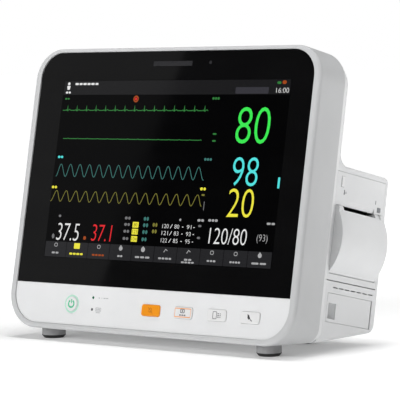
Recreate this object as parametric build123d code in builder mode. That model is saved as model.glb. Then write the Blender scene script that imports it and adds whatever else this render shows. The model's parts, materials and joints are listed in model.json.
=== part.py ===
from build123d import *
from math import cos, sin, radians
import os

# Bedside patient monitor: a slim display case leaning back on a deeper lower case,
# with a strip printer in its right side and patient sockets in its left side.
# Millimetres. +Z up, the screen faces -Y, the printer is on +X. The origin is on the
# floor, in the middle of the footprint.

# ---------------------------------------------------------------- driving dimensions
tilt = 11.7                  # the screen leans back by this many degrees
glass_height = 158.0         # middle of the glass above the floor
glass_setback = -48.66       # middle of the glass from the middle of the footprint
case_bottom = 10.5           # underside of the case above the floor

bezel_half_width = 164.0
bezel_top = 112.0            # heights "u" run up the leaning face from the middle of the glass
bezel_depth = 36.0           # depths "d" run straight back from the face of the glass
bezel_lip = 1.2              # the rim stands this far in front of the glass
bezel_wall = 3.0
corner_top = 29.0
corner_bottom_front = 35.0
corner_bottom_rear = 14.0

glass_half_width = 156.6
glass_half_height = 108.0
glass_thickness = 1.8
glass_corner = 24.0
pocket_depth = 2.0           # glass and control panel sit in pockets this deep
face_wall_back = 5.0         # back of the wall behind the glass

strip_top = -108.3           # control panel below the glass
strip_bottom = -145.0
strip_corner = 28.0
strip_gap = 0.3

screen_x = 4.0               # middle of the display's picture
screen_u = -1.0
module_width = 278.0         # 12.1 inch wide display module
module_height = 184.0

key_size = (21.0, 10.4)
key_u = -126.8
key_centres = {"silence_key": 6.5, "pause_key": 43.2, "freeze_key": 80.5, "record_key": 116.6}
key_gap = 0.2
key_rise = 1.1               # the keys stand this far out of the panel
power_centre = (-86.8, -126.0)
power_radius = 6.6
power_ring_radius = 8.5
led_centres = ((-62.2, -118.9), (-62.2, -129.7))

rear_half_width = 159.5      # lower case, across its flat sides
rim_back = 46.0              # the rear case's rim narrows from the bezel to here
slim_back = 49.0             # back of the slim upper part
box_top = 15.5
box_back = 129.0
rear_wall = 3.0

foot_front = (124.0, -57.86)
foot_rear = (101.0, 31.34)
foot_radius = 11.0
foot_points = [(end * x, y) for end in (-1, 1) for x, y in (foot_front, foot_rear)]
mount_y = 9.64               # middle of the mounting plate in the underside
mount_size = (90.0, 60.0)
mount_spacing = (75.0, 40.0)
mount_hole_radius = 2.1

hinge_clearance = 0.05       # radial clearance of every pin that turns

# ---------------------------------------------------------------- frame and helpers
lean = radians(tilt)
back = Vector(0, cos(lean), -sin(lean))
upward = Vector(0, sin(lean), cos(lean))
middle_of_glass = Vector(0, glass_setback, glass_height)
face = Plane(origin=middle_of_glass, x_dir=(1, 0, 0), z_dir=(0, -cos(lean), sin(lean)))
side = Plane(origin=middle_of_glass, x_dir=(0, cos(lean), -sin(lean)), z_dir=(1, 0, 0))


def depth(d):
    """Plane parallel to the glass, d behind its face. Its normal points at the viewer."""
    return face.offset(-d)


def level(u):
    """Plane square to the face at height u. Its local axes run across and back."""
    return Plane(origin=middle_of_glass + upward * u, x_dir=(1, 0, 0), z_dir=upward)


def floor_line(d, rise=0.0):
    """Height u of the horizontal underside of the case at depth d, or of a line above it."""
    return (case_bottom + rise - glass_height + d * sin(lean)) / cos(lean)


def middle(limits):
    return (limits[0] + limits[1]) / 2


def length(limits):
    return limits[1] - limits[0]


def spot(x, u, d):
    """Place in the case, with its local axes on the leaning face."""
    return face.location * Location((x, u, -d))


def block(x, u, d, mode=Mode.ADD):
    """Box on the leaning axes, from its limits across, up the face and back."""
    with Locations(spot(middle(x), middle(u), middle(d))):
        Box(length(x), length(u), length(d), mode=mode)


def rod_back(radius, x, u, d, mode=Mode.ADD):
    """Cylinder that runs straight back, between two depths."""
    with Locations(spot(x, u, middle(d))):
        Cylinder(radius, length(d), mode=mode)


def rod_across(radius, x, u, d, mode=Mode.ADD):
    """Cylinder that runs across the case, between two values of x."""
    with Locations(spot(middle(x), u, d)):
        Cylinder(radius, length(x), rotation=(0, 90, 0), mode=mode)


def rod_up(radius, x, u, d, mode=Mode.ADD):
    """Cylinder that runs up the face, between two heights."""
    with Locations(spot(x, middle(u), d)):
        Cylinder(radius, length(u), rotation=(90, 0, 0), mode=mode)


def outline(half_width, top, bottom, top_radius, bottom_radius):
    """Case outline seen square on, with one radius for the top corners and one for the bottom."""
    with BuildSketch() as shape:
        with Locations((0, (top + bottom) / 2)):
            Rectangle(2 * half_width, top - bottom)
        fillet(shape.vertices().group_by(Axis.Y)[-1], top_radius)
        fillet(shape.vertices().group_by(Axis.Y)[0], bottom_radius)
    return shape.sketch


os.makedirs("parts", exist_ok=True)

# ---------------------------------------------------------------- front: bezel and glass
boss_points = [(x * 148.0, u) for x in (-1, 1) for u in (98.0, 38.0)]

with BuildPart() as bezel_hollow:
    with BuildSketch(depth(face_wall_back)):
        add(outline(bezel_half_width - bezel_wall, bezel_top - bezel_wall,
                    floor_line(face_wall_back, bezel_wall), corner_top - bezel_wall, 28.0))
    with BuildSketch(depth(bezel_depth + 1)):
        add(outline(bezel_half_width - bezel_wall, bezel_top - bezel_wall,
                    floor_line(bezel_depth + 1, bezel_wall), corner_top - bezel_wall,
                    corner_bottom_rear - bezel_wall))
    loft(ruled=True)

with BuildPart() as front_bezel:
    with BuildSketch(depth(-bezel_lip)):
        add(outline(bezel_half_width, bezel_top, floor_line(-bezel_lip), corner_top,
                    corner_bottom_front))
    with BuildSketch(depth(bezel_depth)):
        add(outline(bezel_half_width, bezel_top, floor_line(bezel_depth), corner_top,
                    corner_bottom_rear))
    loft(ruled=True)
    fillet(front_bezel.faces().sort_by(Axis((0, 0, 0), face.z_dir))[-1].edges(), 3.2)
    add(bezel_hollow.part, mode=Mode.SUBTRACT)
    # pocket for the glass, with the control panel's pocket below it
    with BuildSketch(depth(-bezel_lip - 1)):
        add(outline(glass_half_width + 0.3, glass_half_height + 0.3, -glass_half_height - 0.3,
                    glass_corner, 1.0))
    extrude(amount=-(bezel_lip + 1 + pocket_depth), mode=Mode.SUBTRACT)
    with BuildSketch(depth(-bezel_lip - 1)):
        add(outline(glass_half_width + 0.3 + strip_gap, strip_top + strip_gap,
                    strip_bottom - strip_gap, 0.6, strip_corner + strip_gap))
    extrude(amount=-(bezel_lip + 1 + pocket_depth), mode=Mode.SUBTRACT)
    # window for the display, and openings behind the light bar and the keys
    block((screen_x - 134, screen_x + 134), (screen_u - 87, screen_u + 87), (0, 6), Mode.SUBTRACT)
    block((-25, 24), (93, 100.4), (0, 6), Mode.SUBTRACT)
    rod_back(3.4, 42.0, 97.2, (0, 6), Mode.SUBTRACT)
    for key_x in key_centres.values():
        block((key_x - 13, key_x + 13), (key_u - 7, key_u + 7), (0, 6), Mode.SUBTRACT)
    rod_back(power_ring_radius + 1, *power_centre, (0, 6), Mode.SUBTRACT)
    for led in led_centres:
        rod_back(2.2, *led, (0, 6), Mode.SUBTRACT)
    # screw bosses for the rear case
    for x, u in boss_points:
        rod_back(4.0, x, u, (face_wall_back - 0.5, bezel_depth))
        rod_back(1.3, x, u, (face_wall_back + 9, bezel_depth), Mode.SUBTRACT)
    for x, y in foot_points[::2]:
        with BuildSketch(Plane.XY.offset(case_bottom + 2)):
            with Locations((x, y)):
                Circle(5.0)
        extrude(amount=2.9)
        with BuildSketch(Plane.XY.offset(case_bottom - 1)):
            with Locations((x, y)):
                Circle(1.75)
        extrude(amount=7, mode=Mode.SUBTRACT)
front_bezel.part.label = "front_bezel"
export_step(front_bezel.part, "parts/front_bezel.step")

bar_limits = ((-23.2, 21.6), (94.4, 99.0))
sensor_centre = (42.0, 97.2)
sensor_radius = 1.6

with BuildPart() as touch_glass:
    with BuildSketch(depth(0)):
        add(outline(glass_half_width, glass_half_height, -glass_half_height, glass_corner, 1.0))
    extrude(amount=-glass_thickness)
    block(*bar_limits, (-1, glass_thickness + 1), Mode.SUBTRACT)
    rod_back(sensor_radius, *sensor_centre, (-1, glass_thickness + 1), Mode.SUBTRACT)
touch_glass.part.label = "touch_glass"
export_step(touch_glass.part, "parts/touch_glass.step")

with BuildPart() as alarm_lens:
    block((bar_limits[0][0] + 0.1, bar_limits[0][1] - 0.1),
          (bar_limits[1][0] + 0.1, bar_limits[1][1] - 0.1), (0, 3))
    block((-24.4, 22.8), (93.4, 100.0), (pocket_depth, 6.4))
alarm_lens.part.label = "alarm_lens"
export_step(alarm_lens.part, "parts/alarm_lens.step")

with BuildPart() as sensor_lens:
    rod_back(sensor_radius - 0.1, *sensor_centre, (0, 3))
    rod_back(3.2, *sensor_centre, (pocket_depth, 6.4))
sensor_lens.part.label = "sensor_lens"
export_step(sensor_lens.part, "parts/sensor_lens.step")

with BuildPart() as alarm_board:
    block((-34, 50), (92.6, 103.4), (7.6, 9.2))
    for led_x in (-18, -6, 6, 16):
        block((led_x - 1.6, led_x + 1.6), (95.3, 98.1), (6.6, 7.6))
    block((40.4, 43.6), (95.6, 98.8), (6.6, 7.6))
    block((-32, -26), (95, 101), (9.2, 12.2))
alarm_board.part.label = "alarm_board"
export_step(alarm_board.part, "parts/alarm_board.step")

# ---------------------------------------------------------------- display module
module_x = (screen_x - module_width / 2, screen_x + module_width / 2)
module_u = (screen_u - module_height / 2, screen_u + module_height / 2)

with BuildPart() as lcd_module:
    block(module_x, module_u, (face_wall_back + 0.2, 12.2))
    block((screen_x - 130.6, screen_x + 130.6), (screen_u - 81.6, screen_u + 81.6),
          (face_wall_back, 5.7), Mode.SUBTRACT)
lcd_module.part.label = "lcd_module"
export_step(lcd_module.part, "parts/lcd_module.step")

with BuildPart() as lcd_bracket:
    block((module_x[0] + 2, module_x[1] - 2), (module_u[0] + 2, module_u[1] - 2), (12.4, 13.6))
    block((screen_x - 110, screen_x + 110), (screen_u - 66, screen_u + 66), (12, 14), Mode.SUBTRACT)
    block((screen_x - 6, screen_x + 6), (module_u[0] + 3, module_u[1] - 3), (12.4, 13.6))
    for x in (-96, 96):
        for u in (-64, 64):
            rod_back(3.0, screen_x + x * 1.2, screen_u + u * 1.2, (13.4, 20.2))
            rod_back(1.25, screen_x + x * 1.2, screen_u + u * 1.2, (15, 21), Mode.SUBTRACT)
lcd_bracket.part.label = "lcd_bracket"
export_step(lcd_bracket.part, "parts/lcd_bracket.step")

# ---------------------------------------------------------------- control panel and keys
with BuildPart() as control_panel:
    with BuildSketch(depth(0)):
        add(outline(glass_half_width + 0.3, strip_top, strip_bottom, 0.6, strip_corner))
    extrude(amount=-(pocket_depth - 0.1))
    for key_x in key_centres.values():
        with BuildSketch(depth(-1)):
            with Locations((key_x, key_u)):
                RectangleRounded(key_size[0] + 2 * key_gap, key_size[1] + 2 * key_gap, 2.6)
        extrude(amount=-4, mode=Mode.SUBTRACT)
    rod_back(power_ring_radius + 0.1, *power_centre, (-1, 3), Mode.SUBTRACT)
    for led in led_centres:
        rod_back(1.3, *led, (-1, 3), Mode.SUBTRACT)
control_panel.part.label = "control_panel"
export_step(control_panel.part, "parts/control_panel.step")

for name, key_x in key_centres.items():
    with BuildPart() as key:
        with BuildSketch(depth(-key_rise)):
            with Locations((key_x, key_u)):
                RectangleRounded(key_size[0], key_size[1], 2.4)
        extrude(amount=-(key_rise + 2.1))
        fillet(key.faces().sort_by(Axis((0, 0, 0), face.z_dir))[-1].edges(), 0.9)
        block((key_x - 12.2, key_x + 12.2), (key_u - 6.4, key_u + 6.4), (2.05, 3.05))
        rod_back(2.0, key_x, key_u, (3.0, 6.4))
    key.part.label = name
    export_step(key.part, f"parts/{name}.step")

with BuildPart() as power_ring:
    rod_back(power_ring_radius, *power_centre, (-0.15, 1.9))
    rod_back(power_ring_radius + 0.8, *power_centre, (1.95, 3.0))
    rod_back(power_radius + key_gap, *power_centre, (-1, 4), Mode.SUBTRACT)
    rod_back(power_ring_radius - 0.6, *power_centre, (1.8, 2.6))
    rod_back(power_radius + key_gap, *power_centre, (-1, 4), Mode.SUBTRACT)
power_ring.part.label = "power_ring"
export_step(power_ring.part, "parts/power_ring.step")

with BuildPart() as power_button:
    rod_back(power_radius, *power_centre, (-key_rise, 4.2))
    fillet(power_button.faces().sort_by(Axis((0, 0, 0), face.z_dir))[-1].edges(), 0.9)
    rod_back(8.2, *power_centre, (3.2, 4.2))
    rod_back(2.0, *power_centre, (4.0, 6.4))
power_button.part.label = "power_button"
export_step(power_button.part, "parts/power_button.step")

with BuildPart() as led_lenses:
    for led in led_centres:
        rod_back(1.2, *led, (0.0, 7.0))
        rod_back(2.0, *led, (2.0, 3.0))
led_lenses.part.label = "led_lenses"
export_step(led_lenses.part, "parts/led_lenses.step")

switch_centres = [power_centre] + [(key_x, key_u) for key_x in key_centres.values()]

with BuildPart() as key_board:
    block((-100, 132), (-135.5, -115.5), (10.0, 11.6))
    for x, u in switch_centres:
        block((x - 3, x + 3), (u - 3, u + 3), (8.0, 10.0))
        rod_back(1.7, x, u, (7.4, 8.2))
    for x, u in led_centres:
        block((x - 1.5, x + 1.5), (u - 1.5, u + 1.5), (8.4, 10.0))
    block((-40, -20), (-130, -124), (11.6, 15))
key_board.part.label = "key_board"
export_step(key_board.part, "parts/key_board.step")

# ---------------------------------------------------------------- rear case
# Openings in it, as limits across, up and back.
printer_bay = ((150, 165), (-86.3, 9.8), (45.8, 123.2))
battery_hinge = (157.5, 117.6)     # x and depth of the battery door's pin
battery_hatch = ((150, 165), (-122.0, -96.6), (50.2, 120.4))
patient_panel = ((-165, -150), (-116.3, 8.3), (51.7, 120.3))
io_recess = ((-110.2, 50.2), (-110.2, -72.8), (110, 135))
grille_centre = (-92.0, -40.0)
ear_x = (70.0, 77.0)         # handle lugs, each side
handle_u = 90.0
handle_d = 58.0
vent_length = 7.0
shoulder_radius = 13.0       # where the slim part meets the top of the lower case

with BuildPart() as lower_case:
    with BuildSketch(side.offset(-rear_half_width)):
        with BuildLine():
            Line((40, floor_line(40)), (40, box_top + shoulder_radius))
            Line((40, box_top + shoulder_radius), (slim_back, box_top + shoulder_radius))
            RadiusArc((slim_back, box_top + shoulder_radius), (slim_back + shoulder_radius, box_top),
                      -shoulder_radius)
            Polyline((slim_back + shoulder_radius, box_top), (box_back, box_top),
                     (box_back, floor_line(box_back)), (40, floor_line(40)))
        make_face()
    extrude(amount=2 * rear_half_width)
    across = lower_case.edges().filter_by(Axis.X)
    fillet(across.group_by(Axis.Y)[-1].sort_by(Axis.Z)[-1], 6.0)
    across = lower_case.edges().filter_by(Axis.X)
    fillet(across.group_by(Axis.Z)[0].sort_by(Axis.Y)[-1], 9.0)
    rims = lower_case.faces().filter_by(Axis.X).edges()
    fillet(rims.filter_by(lambda edge: (edge.center() - middle_of_glass).dot(back) > slim_back + 1), 3.5)

with BuildPart() as rear_housing:
    with BuildSketch(depth(bezel_depth)):
        add(outline(bezel_half_width - 0.5, bezel_top - 0.5, floor_line(bezel_depth), corner_top - 0.5,
                    corner_bottom_rear - 0.5))
    with BuildSketch(depth(rim_back)):
        add(outline(rear_half_width, bezel_top - 4.0, floor_line(rim_back), corner_top - 3, 8.0))
    loft(ruled=True)
    with BuildSketch(depth(rim_back)):
        add(outline(rear_half_width, bezel_top - 4.0, floor_line(rim_back), corner_top - 3, 8.0))
    extrude(amount=-(slim_back - rim_back))
    fillet(rear_housing.faces().sort_by(Axis((0, 0, 0), back))[-1].edges().sort_by(Axis.Z)[1:], 2.4)
    add(lower_case.part)
    # handle lugs on the slim part
    for end in (-1, 1):
        lug = sorted((end * ear_x[0], end * ear_x[1]))
        block(lug, (handle_u - 9, handle_u + 9), (slim_back - 1, handle_d))
        rod_across(9.0, lug, handle_u, handle_d)
    # hollow inside
    with BuildSketch(depth(bezel_depth - 1)):
        add(outline(rear_half_width - rear_wall, bezel_top - 8.0, floor_line(bezel_depth + 10, rear_wall),
                    corner_top - 6, 6.0))
    extrude(amount=-(slim_back - rear_wall - bezel_depth + 1), mode=Mode.SUBTRACT)
    with BuildSketch(side.offset(-rear_half_width + rear_wall)):
        with BuildLine():
            Polyline((35, box_top - rear_wall), (box_back - rear_wall, box_top - rear_wall),
                     (box_back - rear_wall, floor_line(box_back - rear_wall, rear_wall)),
                     (35, floor_line(35, rear_wall)), close=True)
        make_face()
    extrude(amount=2 * (rear_half_width - rear_wall), mode=Mode.SUBTRACT)
    # openings
    for limits in (printer_bay, battery_hatch, patient_panel, io_recess):
        block(*limits, Mode.SUBTRACT)
    for end in (-1, 1):
        rod_across(2.5, sorted((end * (ear_x[0] - 1), end * (ear_x[1] + 1))), handle_u, handle_d,
                   Mode.SUBTRACT)
    for x, u in boss_points:
        rod_back(1.7, x, u, (bezel_depth, slim_back + 1), Mode.SUBTRACT)
        rod_back(3.4, x, u, (slim_back - 2, slim_back + 1), Mode.SUBTRACT)
        rod_back(5.0, x, u, (bezel_depth + 0.5, slim_back - 2))
        rod_back(1.7, x, u, (bezel_depth, slim_back - 1.9), Mode.SUBTRACT)
    # cooling slots: a row under the printer, and two rows in the top of the lower part
    with BuildSketch(side.offset(rear_half_width - 5)):
        with Locations((57.0 + 3 * 9.3 + vent_length / 2, -91.5)):
            with GridLocations(9.3, 1, 7, 1):
                Rectangle(vent_length, 1.0)
    extrude(amount=10, mode=Mode.SUBTRACT)
    with BuildSketch(depth(92)) as top_slots:
        with Locations((0, box_top - 1.5)):
            with GridLocations(14, 1, 17, 1):
                Rectangle(9, 7)
    extrude(amount=-1.8, mode=Mode.SUBTRACT)
    extrude(top_slots.sketch.moved(Location(back * 14)), amount=-1.8, mode=Mode.SUBTRACT)
    # sound holes behind the speaker
    with BuildSketch(depth(box_back + 1)):
        with Locations(grille_centre):
            Circle(1.1)
            with PolarLocations(5.0, 6):
                Circle(1.1)
            with PolarLocations(10.0, 12):
                Circle(1.1)
    extrude(amount=6, mode=Mode.SUBTRACT)
    # underside: foot bosses, and an opening for the mounting plate
    with BuildSketch(Plane.XY.offset(case_bottom + 2)):
        with Locations(*foot_points[1::2]):
            Circle(5.0)
    extrude(amount=2.9)
    with BuildSketch(Plane.XY.offset(case_bottom - 1)):
        with Locations(*foot_points[1::2]):
            Circle(1.75)
        with Locations((0, mount_y)):
            Rectangle(mount_size[0] + 0.4, mount_size[1] + 0.4)
    extrude(amount=7, mode=Mode.SUBTRACT)
    # holes for the ends of the battery door's pin
    rod_up(0.9, battery_hinge[0], (-124.2, -93.8), battery_hinge[1], Mode.SUBTRACT)
rear_housing.part.label = "rear_housing"
export_step(rear_housing.part, "parts/rear_housing.step")

# ---------------------------------------------------------------- printer
door_width = (48.5, 120.5)       # from front to back
door_hinge = (157.6, -78.0)      # x and u of its pin
door_top = -20.0
door_bulge = (169.5, -49.5)      # the point of the door that stands out most
door_wall = 2.2
door_ear = (160.4, -23.4)
ear_radius = 3.2
gear_room = 6.95
slot_d = (57.8, 108.3)           # paper slot, as wide as the paper
slot_floor = -23.6
fascia_x = (157.3, rear_half_width)
fascia_window = ((156, 161), (-80.2, -19.6), (48.2, 120.8))
platen_axis = (155.5, -30.5)
platen_radius = 4.0
roll_axis = (147.5, -54.5)
roll_radius = 17.5
roll_d = (58.0, 108.0)
core_bore = 6.0
gear_d = (112.3, 115.3)
gear_module = 0.5
platen_teeth = 24
idler_teeth = 20
motor_teeth = 10
idler_axis = (platen_axis[0] - gear_module * (platen_teeth + idler_teeth) / 2, platen_axis[1])
motor_angle = 153.0              # direction from the idler to the motor, on a tooth of the idler
motor_reach = gear_module * (idler_teeth + motor_teeth) / 2
motor_axis = (idler_axis[0] + motor_reach * cos(radians(motor_angle)),
              idler_axis[1] + motor_reach * sin(radians(motor_angle)))
feed_place = (1.2, 55.0)         # u and depth of the paper feed button
release_place = (-15.5, 115.5)   # u and depth of the door release button


def gear(axis, teeth, first_tooth, bore):
    """Spur gear on the printer's gear plane, with one tooth pointing along first_tooth degrees."""
    pitch_radius = gear_module * teeth / 2
    root = pitch_radius - 1.2 * gear_module
    tip = pitch_radius + 0.9 * gear_module
    with BuildSketch(depth(gear_d[0])) as wheel:
        with Locations(axis):
            Circle(root)
            with PolarLocations(0, teeth, start_angle=first_tooth):
                Polygon((root - 0.3, -0.46), (root, -0.46), (pitch_radius, -0.32), (tip, -0.14),
                        (tip, 0.14), (pitch_radius, 0.32), (root, 0.46), (root - 0.3, 0.46), align=None)
            if bore:
                Circle(bore, mode=Mode.SUBTRACT)
    extrude(wheel.sketch, amount=-length(gear_d))


with BuildPart() as printer_fascia:
    block(fascia_x, (-85.5, 9.5), (46.0, 123.0))
    block(*fascia_window, Mode.SUBTRACT)
    block((155, 161), (feed_place[0] - 4.8, feed_place[0] + 4.8),
          (feed_place[1] - 2.3, feed_place[1] + 2.3), Mode.SUBTRACT)
    block((155, 161), (release_place[0] - 2.3, release_place[0] + 2.3),
          (release_place[1] - 2.8, release_place[1] + 2.8), Mode.SUBTRACT)
    rod_across(0.9, (155, 161), -8.8, 59.0, Mode.SUBTRACT)
    with BuildSketch(depth(slot_d[0])):
        Polygon((159.6, -14.8), (159.6, -20.2), (157.7, -20.2), align=None)
    extrude(amount=-length(slot_d), mode=Mode.SUBTRACT)
    # ribs behind, and the cheeks that hold the door's pin
    block((152.0, 157.4), (7.0, 8.6), (52.0, 118.0))
    for cheek in ((46.0, 48.2), (120.8, 123.0)):
        block((154.2, 157.4), (-85.0, -72.0), cheek)
    rod_back(1.0, *door_hinge, (45, 124), Mode.SUBTRACT)
printer_fascia.part.label = "printer_fascia"
export_step(printer_fascia.part, "parts/printer_fascia.step")

with BuildPart() as printer_frame:
    for cheek in ((52.0, 54.0), (109.5, 111.5)):
        with BuildSketch(depth(cheek[0])):
            Polygon((124, -76.5), (154, -76.5), (154, -42), (150, -38), (150, -16), (124, -16), align=None)
        extrude(amount=-length(cheek))
    block((124, 126), (-76.5, -16), (52.0, 111.5))
    block((124, 154), (-76.5, -74.9), (52.0, 111.5))
    block((124, 157.3), (-16.4, -14.8), (52.0, 111.5))
    # stubs that carry the paper core, and the idler's post
    for stub in ((53.5, 62.0), (103.0, 110.0)):
        rod_back(core_bore - 0.07, *roll_axis, stub)
    rod_back(2.2, *idler_axis, (111.4, 112.1))
    rod_back(1.5, *idler_axis, (111.4, 116.0))
    rod_back(1.6, *motor_axis, (109, 112), Mode.SUBTRACT)
printer_frame.part.label = "printer_frame"
export_step(printer_frame.part, "parts/printer_frame.step")

inner_x, inner_u = door_bulge[0] - door_wall, door_bulge[1]
with BuildPart() as printer_door:
    with BuildSketch(depth(door_width[0])):
        with BuildLine():
            ThreePointArc((rear_half_width, door_hinge[1]), door_bulge, (159.8, door_top))
            Polyline((159.8, door_top), (153.0, door_top - 1.2), (153.0, door_hinge[1]),
                     (rear_half_width, door_hinge[1]))
        make_face()
        with BuildLine():
            ThreePointArc((157.3, door_hinge[1] + 1.2), (inner_x, inner_u), (160.0, slot_floor - 2.0))
            Polyline((160.0, slot_floor - 2.0), (150.0, slot_floor - 2.0), (150.0, door_hinge[1] - 1),
                     (157.3, door_hinge[1] - 1), (157.3, door_hinge[1] + 1.2))
        make_face(mode=Mode.SUBTRACT)
        with Locations(door_hinge):
            Circle(rear_half_width - door_hinge[0])
    extrude(amount=-length(door_width))
    for cheek in ((door_width[0], door_width[0] + door_wall), (door_width[1] - door_wall, door_width[1])):
        with BuildSketch(depth(cheek[0])):
            with BuildLine():
                ThreePointArc((rear_half_width, door_hinge[1]), door_bulge, (159.8, door_top))
                Polyline((159.8, door_top), (152.0, door_top - 1.4), (152.0, -66.0),
                         (157.0, door_hinge[1]), (rear_half_width, door_hinge[1]))
            make_face()
        extrude(amount=-length(cheek))
    block((145, 175), (slot_floor, -15), slot_d, Mode.SUBTRACT)
    # rounded ears at the ends of the top edge, and room inside for the gear
    for ear in ((door_width[0], 55.0), (114.2, door_width[1])):
        rod_back(ear_radius, door_ear[0], door_ear[1], ear)
    rod_back(gear_room, *platen_axis, (111.5, 116.1), Mode.SUBTRACT)
    rod_back(1.0 + hinge_clearance, *door_hinge, (45, 124), Mode.SUBTRACT)
    rod_back(1.5 + hinge_clearance, *platen_axis, (45, 124), Mode.SUBTRACT)
printer_door.part.label = "printer_door"
export_step(printer_door.part, "parts/printer_door.step")

with BuildPart() as door_pin:
    rod_back(1.0, *door_hinge, (46.2, 122.8))
door_pin.part.label = "door_pin"
export_step(door_pin.part, "parts/door_pin.step")

with BuildPart() as platen_shaft:
    rod_back(1.5, *platen_axis, (48.9, 120.1))
platen_shaft.part.label = "platen_shaft"
export_step(platen_shaft.part, "parts/platen_shaft.step")

with BuildPart() as platen_roller:
    rod_back(platen_radius, *platen_axis, (57.0, 108.8))
    rod_back(1.5, *platen_axis, (56, 110), Mode.SUBTRACT)
platen_roller.part.label = "platen_roller"
export_step(platen_roller.part, "parts/platen_roller.step")

with BuildPart() as platen_gear:
    gear(platen_axis, platen_teeth, 0.0, 1.5)
platen_gear.part.label = "platen_gear"
export_step(platen_gear.part, "parts/platen_gear.step")

with BuildPart() as idler_gear:
    gear(idler_axis, idler_teeth, 180.0 / idler_teeth, 1.5 + hinge_clearance)
idler_gear.part.label = "idler_gear"
export_step(idler_gear.part, "parts/idler_gear.step")

with BuildPart() as motor_gear:
    gear(motor_axis, motor_teeth, motor_angle + 180.0 + 180.0 / motor_teeth, 0)
    rod_back(1.0, *motor_axis, (104.2, gear_d[1]))
motor_gear.part.label = "motor_gear"
export_step(motor_gear.part, "parts/motor_gear.step")

with BuildPart() as printer_motor:
    rod_back(7.5, *motor_axis, (96.0, 109.4))
    rod_back(1.0 + hinge_clearance, *motor_axis, (104.0, 110), Mode.SUBTRACT)
    block((motor_axis[0] - 9, motor_axis[0] - 6), (motor_axis[1] - 4, motor_axis[1] + 4), (97.0, 103.0))
printer_motor.part.label = "printer_motor"
export_step(printer_motor.part, "parts/printer_motor.step")

with BuildPart() as print_head:
    block((146.4, 148.4), (-35.5, -24.6), (54.0, 109.5))
    block((148.4, 151.1), (-34.0, -26.5), (57.0, 108.5))
    for fin_u in (-34.5, -31.5, -28.5, -25.6):
        block((145.6, 146.5), (fin_u - 0.4, fin_u + 0.4), (57.0, 94.0))
print_head.part.label = "print_head"
export_step(print_head.part, "parts/print_head.step")

with BuildPart() as paper_roll:
    rod_back(roll_radius, *roll_axis, roll_d)
    rod_back(core_bore + 2.0, *roll_axis, (50, 120), Mode.SUBTRACT)
paper_roll.part.label = "paper_roll"
export_step(paper_roll.part, "parts/paper_roll.step")

with BuildPart() as paper_core:
    rod_back(core_bore + 2.0, *roll_axis, roll_d)
    rod_back(core_bore, *roll_axis, (50, 120), Mode.SUBTRACT)
paper_core.part.label = "paper_core"
export_step(paper_core.part, "parts/paper_core.step")

button_face = {"feed_button": (feed_place, (9.2, 4.2), 160.0),
               "door_release": (release_place, (4.2, 5.2), 159.8)}
for name, (place, size, top) in button_face.items():
    with BuildPart() as side_button:
        block((156.0, top), (place[0] - size[0] / 2, place[0] + size[0] / 2),
              (place[1] - size[1] / 2, place[1] + size[1] / 2))
        fillet(side_button.edges().filter_by(Axis.X), 1.2)
        fillet(side_button.faces().sort_by(Axis.X)[-1].edges(), 0.3)
        block((155.4, 157.2), (place[0] - size[0] / 2 - 0.9, place[0] + size[0] / 2 + 0.9),
              (place[1] - size[1] / 2 - 0.9, place[1] + size[1] / 2 + 0.9))
        rod_across(1.4, (151.1, 155.5), *place)
    side_button.part.label = name
    export_step(side_button.part, f"parts/{name}.step")

with BuildPart() as printer_board:
    block((145.9, 147.5), (-11.0, 6.0), (52.0, 118.0))
    block((147.4, 149.8), (feed_place[0] - 3, feed_place[0] + 3), (feed_place[1] - 3, feed_place[1] + 3))
    rod_across(1.5, (149.7, 150.2), *feed_place)
    block((147.4, 150.4), (-9.6, -8.0), (58.2, 59.8))
    block((141.9, 146.0), (-8.0, 3.0), (70.0, 84.0))
printer_board.part.label = "printer_board"
export_step(printer_board.part, "parts/printer_board.step")

# ---------------------------------------------------------------- battery
with BuildPart() as battery_bay:
    block((56.5, 156.3), (-122.0, -96.6), (50.0, 115.0))
    block((58.0, 157.0), (-120.5, -98.0), (51.3, 113.5), Mode.SUBTRACT)
battery_bay.part.label = "battery_bay"
export_step(battery_bay.part, "parts/battery_bay.step")

with BuildPart() as battery_pack:
    block((60.0, 149.0), (-120.5, -98.5), (52.0, 113.0))
    fillet(battery_pack.edges().filter_by(Axis.X), 2.0)
    block((58.0, 60.5), (-116.0, -112.0), (70.0, 95.0))
battery_pack.part.label = "battery_pack"
export_step(battery_pack.part, "parts/battery_pack.step")

door_back = battery_hinge[1]
with BuildPart() as battery_door:
    block((157.1, rear_half_width), (-121.7, -96.9), (50.6, door_back))
    rod_up(rear_half_width - battery_hinge[0], battery_hinge[0], (-121.7, -96.9), door_back)
    block((151.8, 158.0), (-120.3, -103.6), (51.4, 66.0))
    # finger pull: a pocket that ramps out towards the back
    with BuildSketch(level(-119.0)):
        Polygon((160, 52.8), (153.4, 52.8), (153.4, 60.4), (158.6, 64.4), (160, 64.4), align=None)
    extrude(amount=14.0, mode=Mode.SUBTRACT)
    rod_up(0.9 + hinge_clearance, battery_hinge[0], (-123, -95), door_back, Mode.SUBTRACT)
battery_door.part.label = "battery_door"
export_step(battery_door.part, "parts/battery_door.step")

with BuildPart() as battery_door_pin:
    rod_up(0.9, battery_hinge[0], (-124.0, -94.0), battery_hinge[1])
battery_door_pin.part.label = "battery_door_pin"
export_step(battery_door_pin.part, "parts/battery_door_pin.step")

# ---------------------------------------------------------------- patient sockets
panel_face = -163.5
socket_front = -165.0
ecg_place = (-16.0, 72.0)        # u and depth of each socket
spo2_place = (-50.0, 72.0)
temp_places = ((-78.0, 72.0), (-100.0, 72.0))
nibp_place = (-24.0, 102.0)
ecg_radius = 7.5                 # bores that the patient plugs go into
spo2_radius = 6.5
temp_radius = 3.25
nibp_radius = 3.1
socket_depth = 9.0

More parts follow.
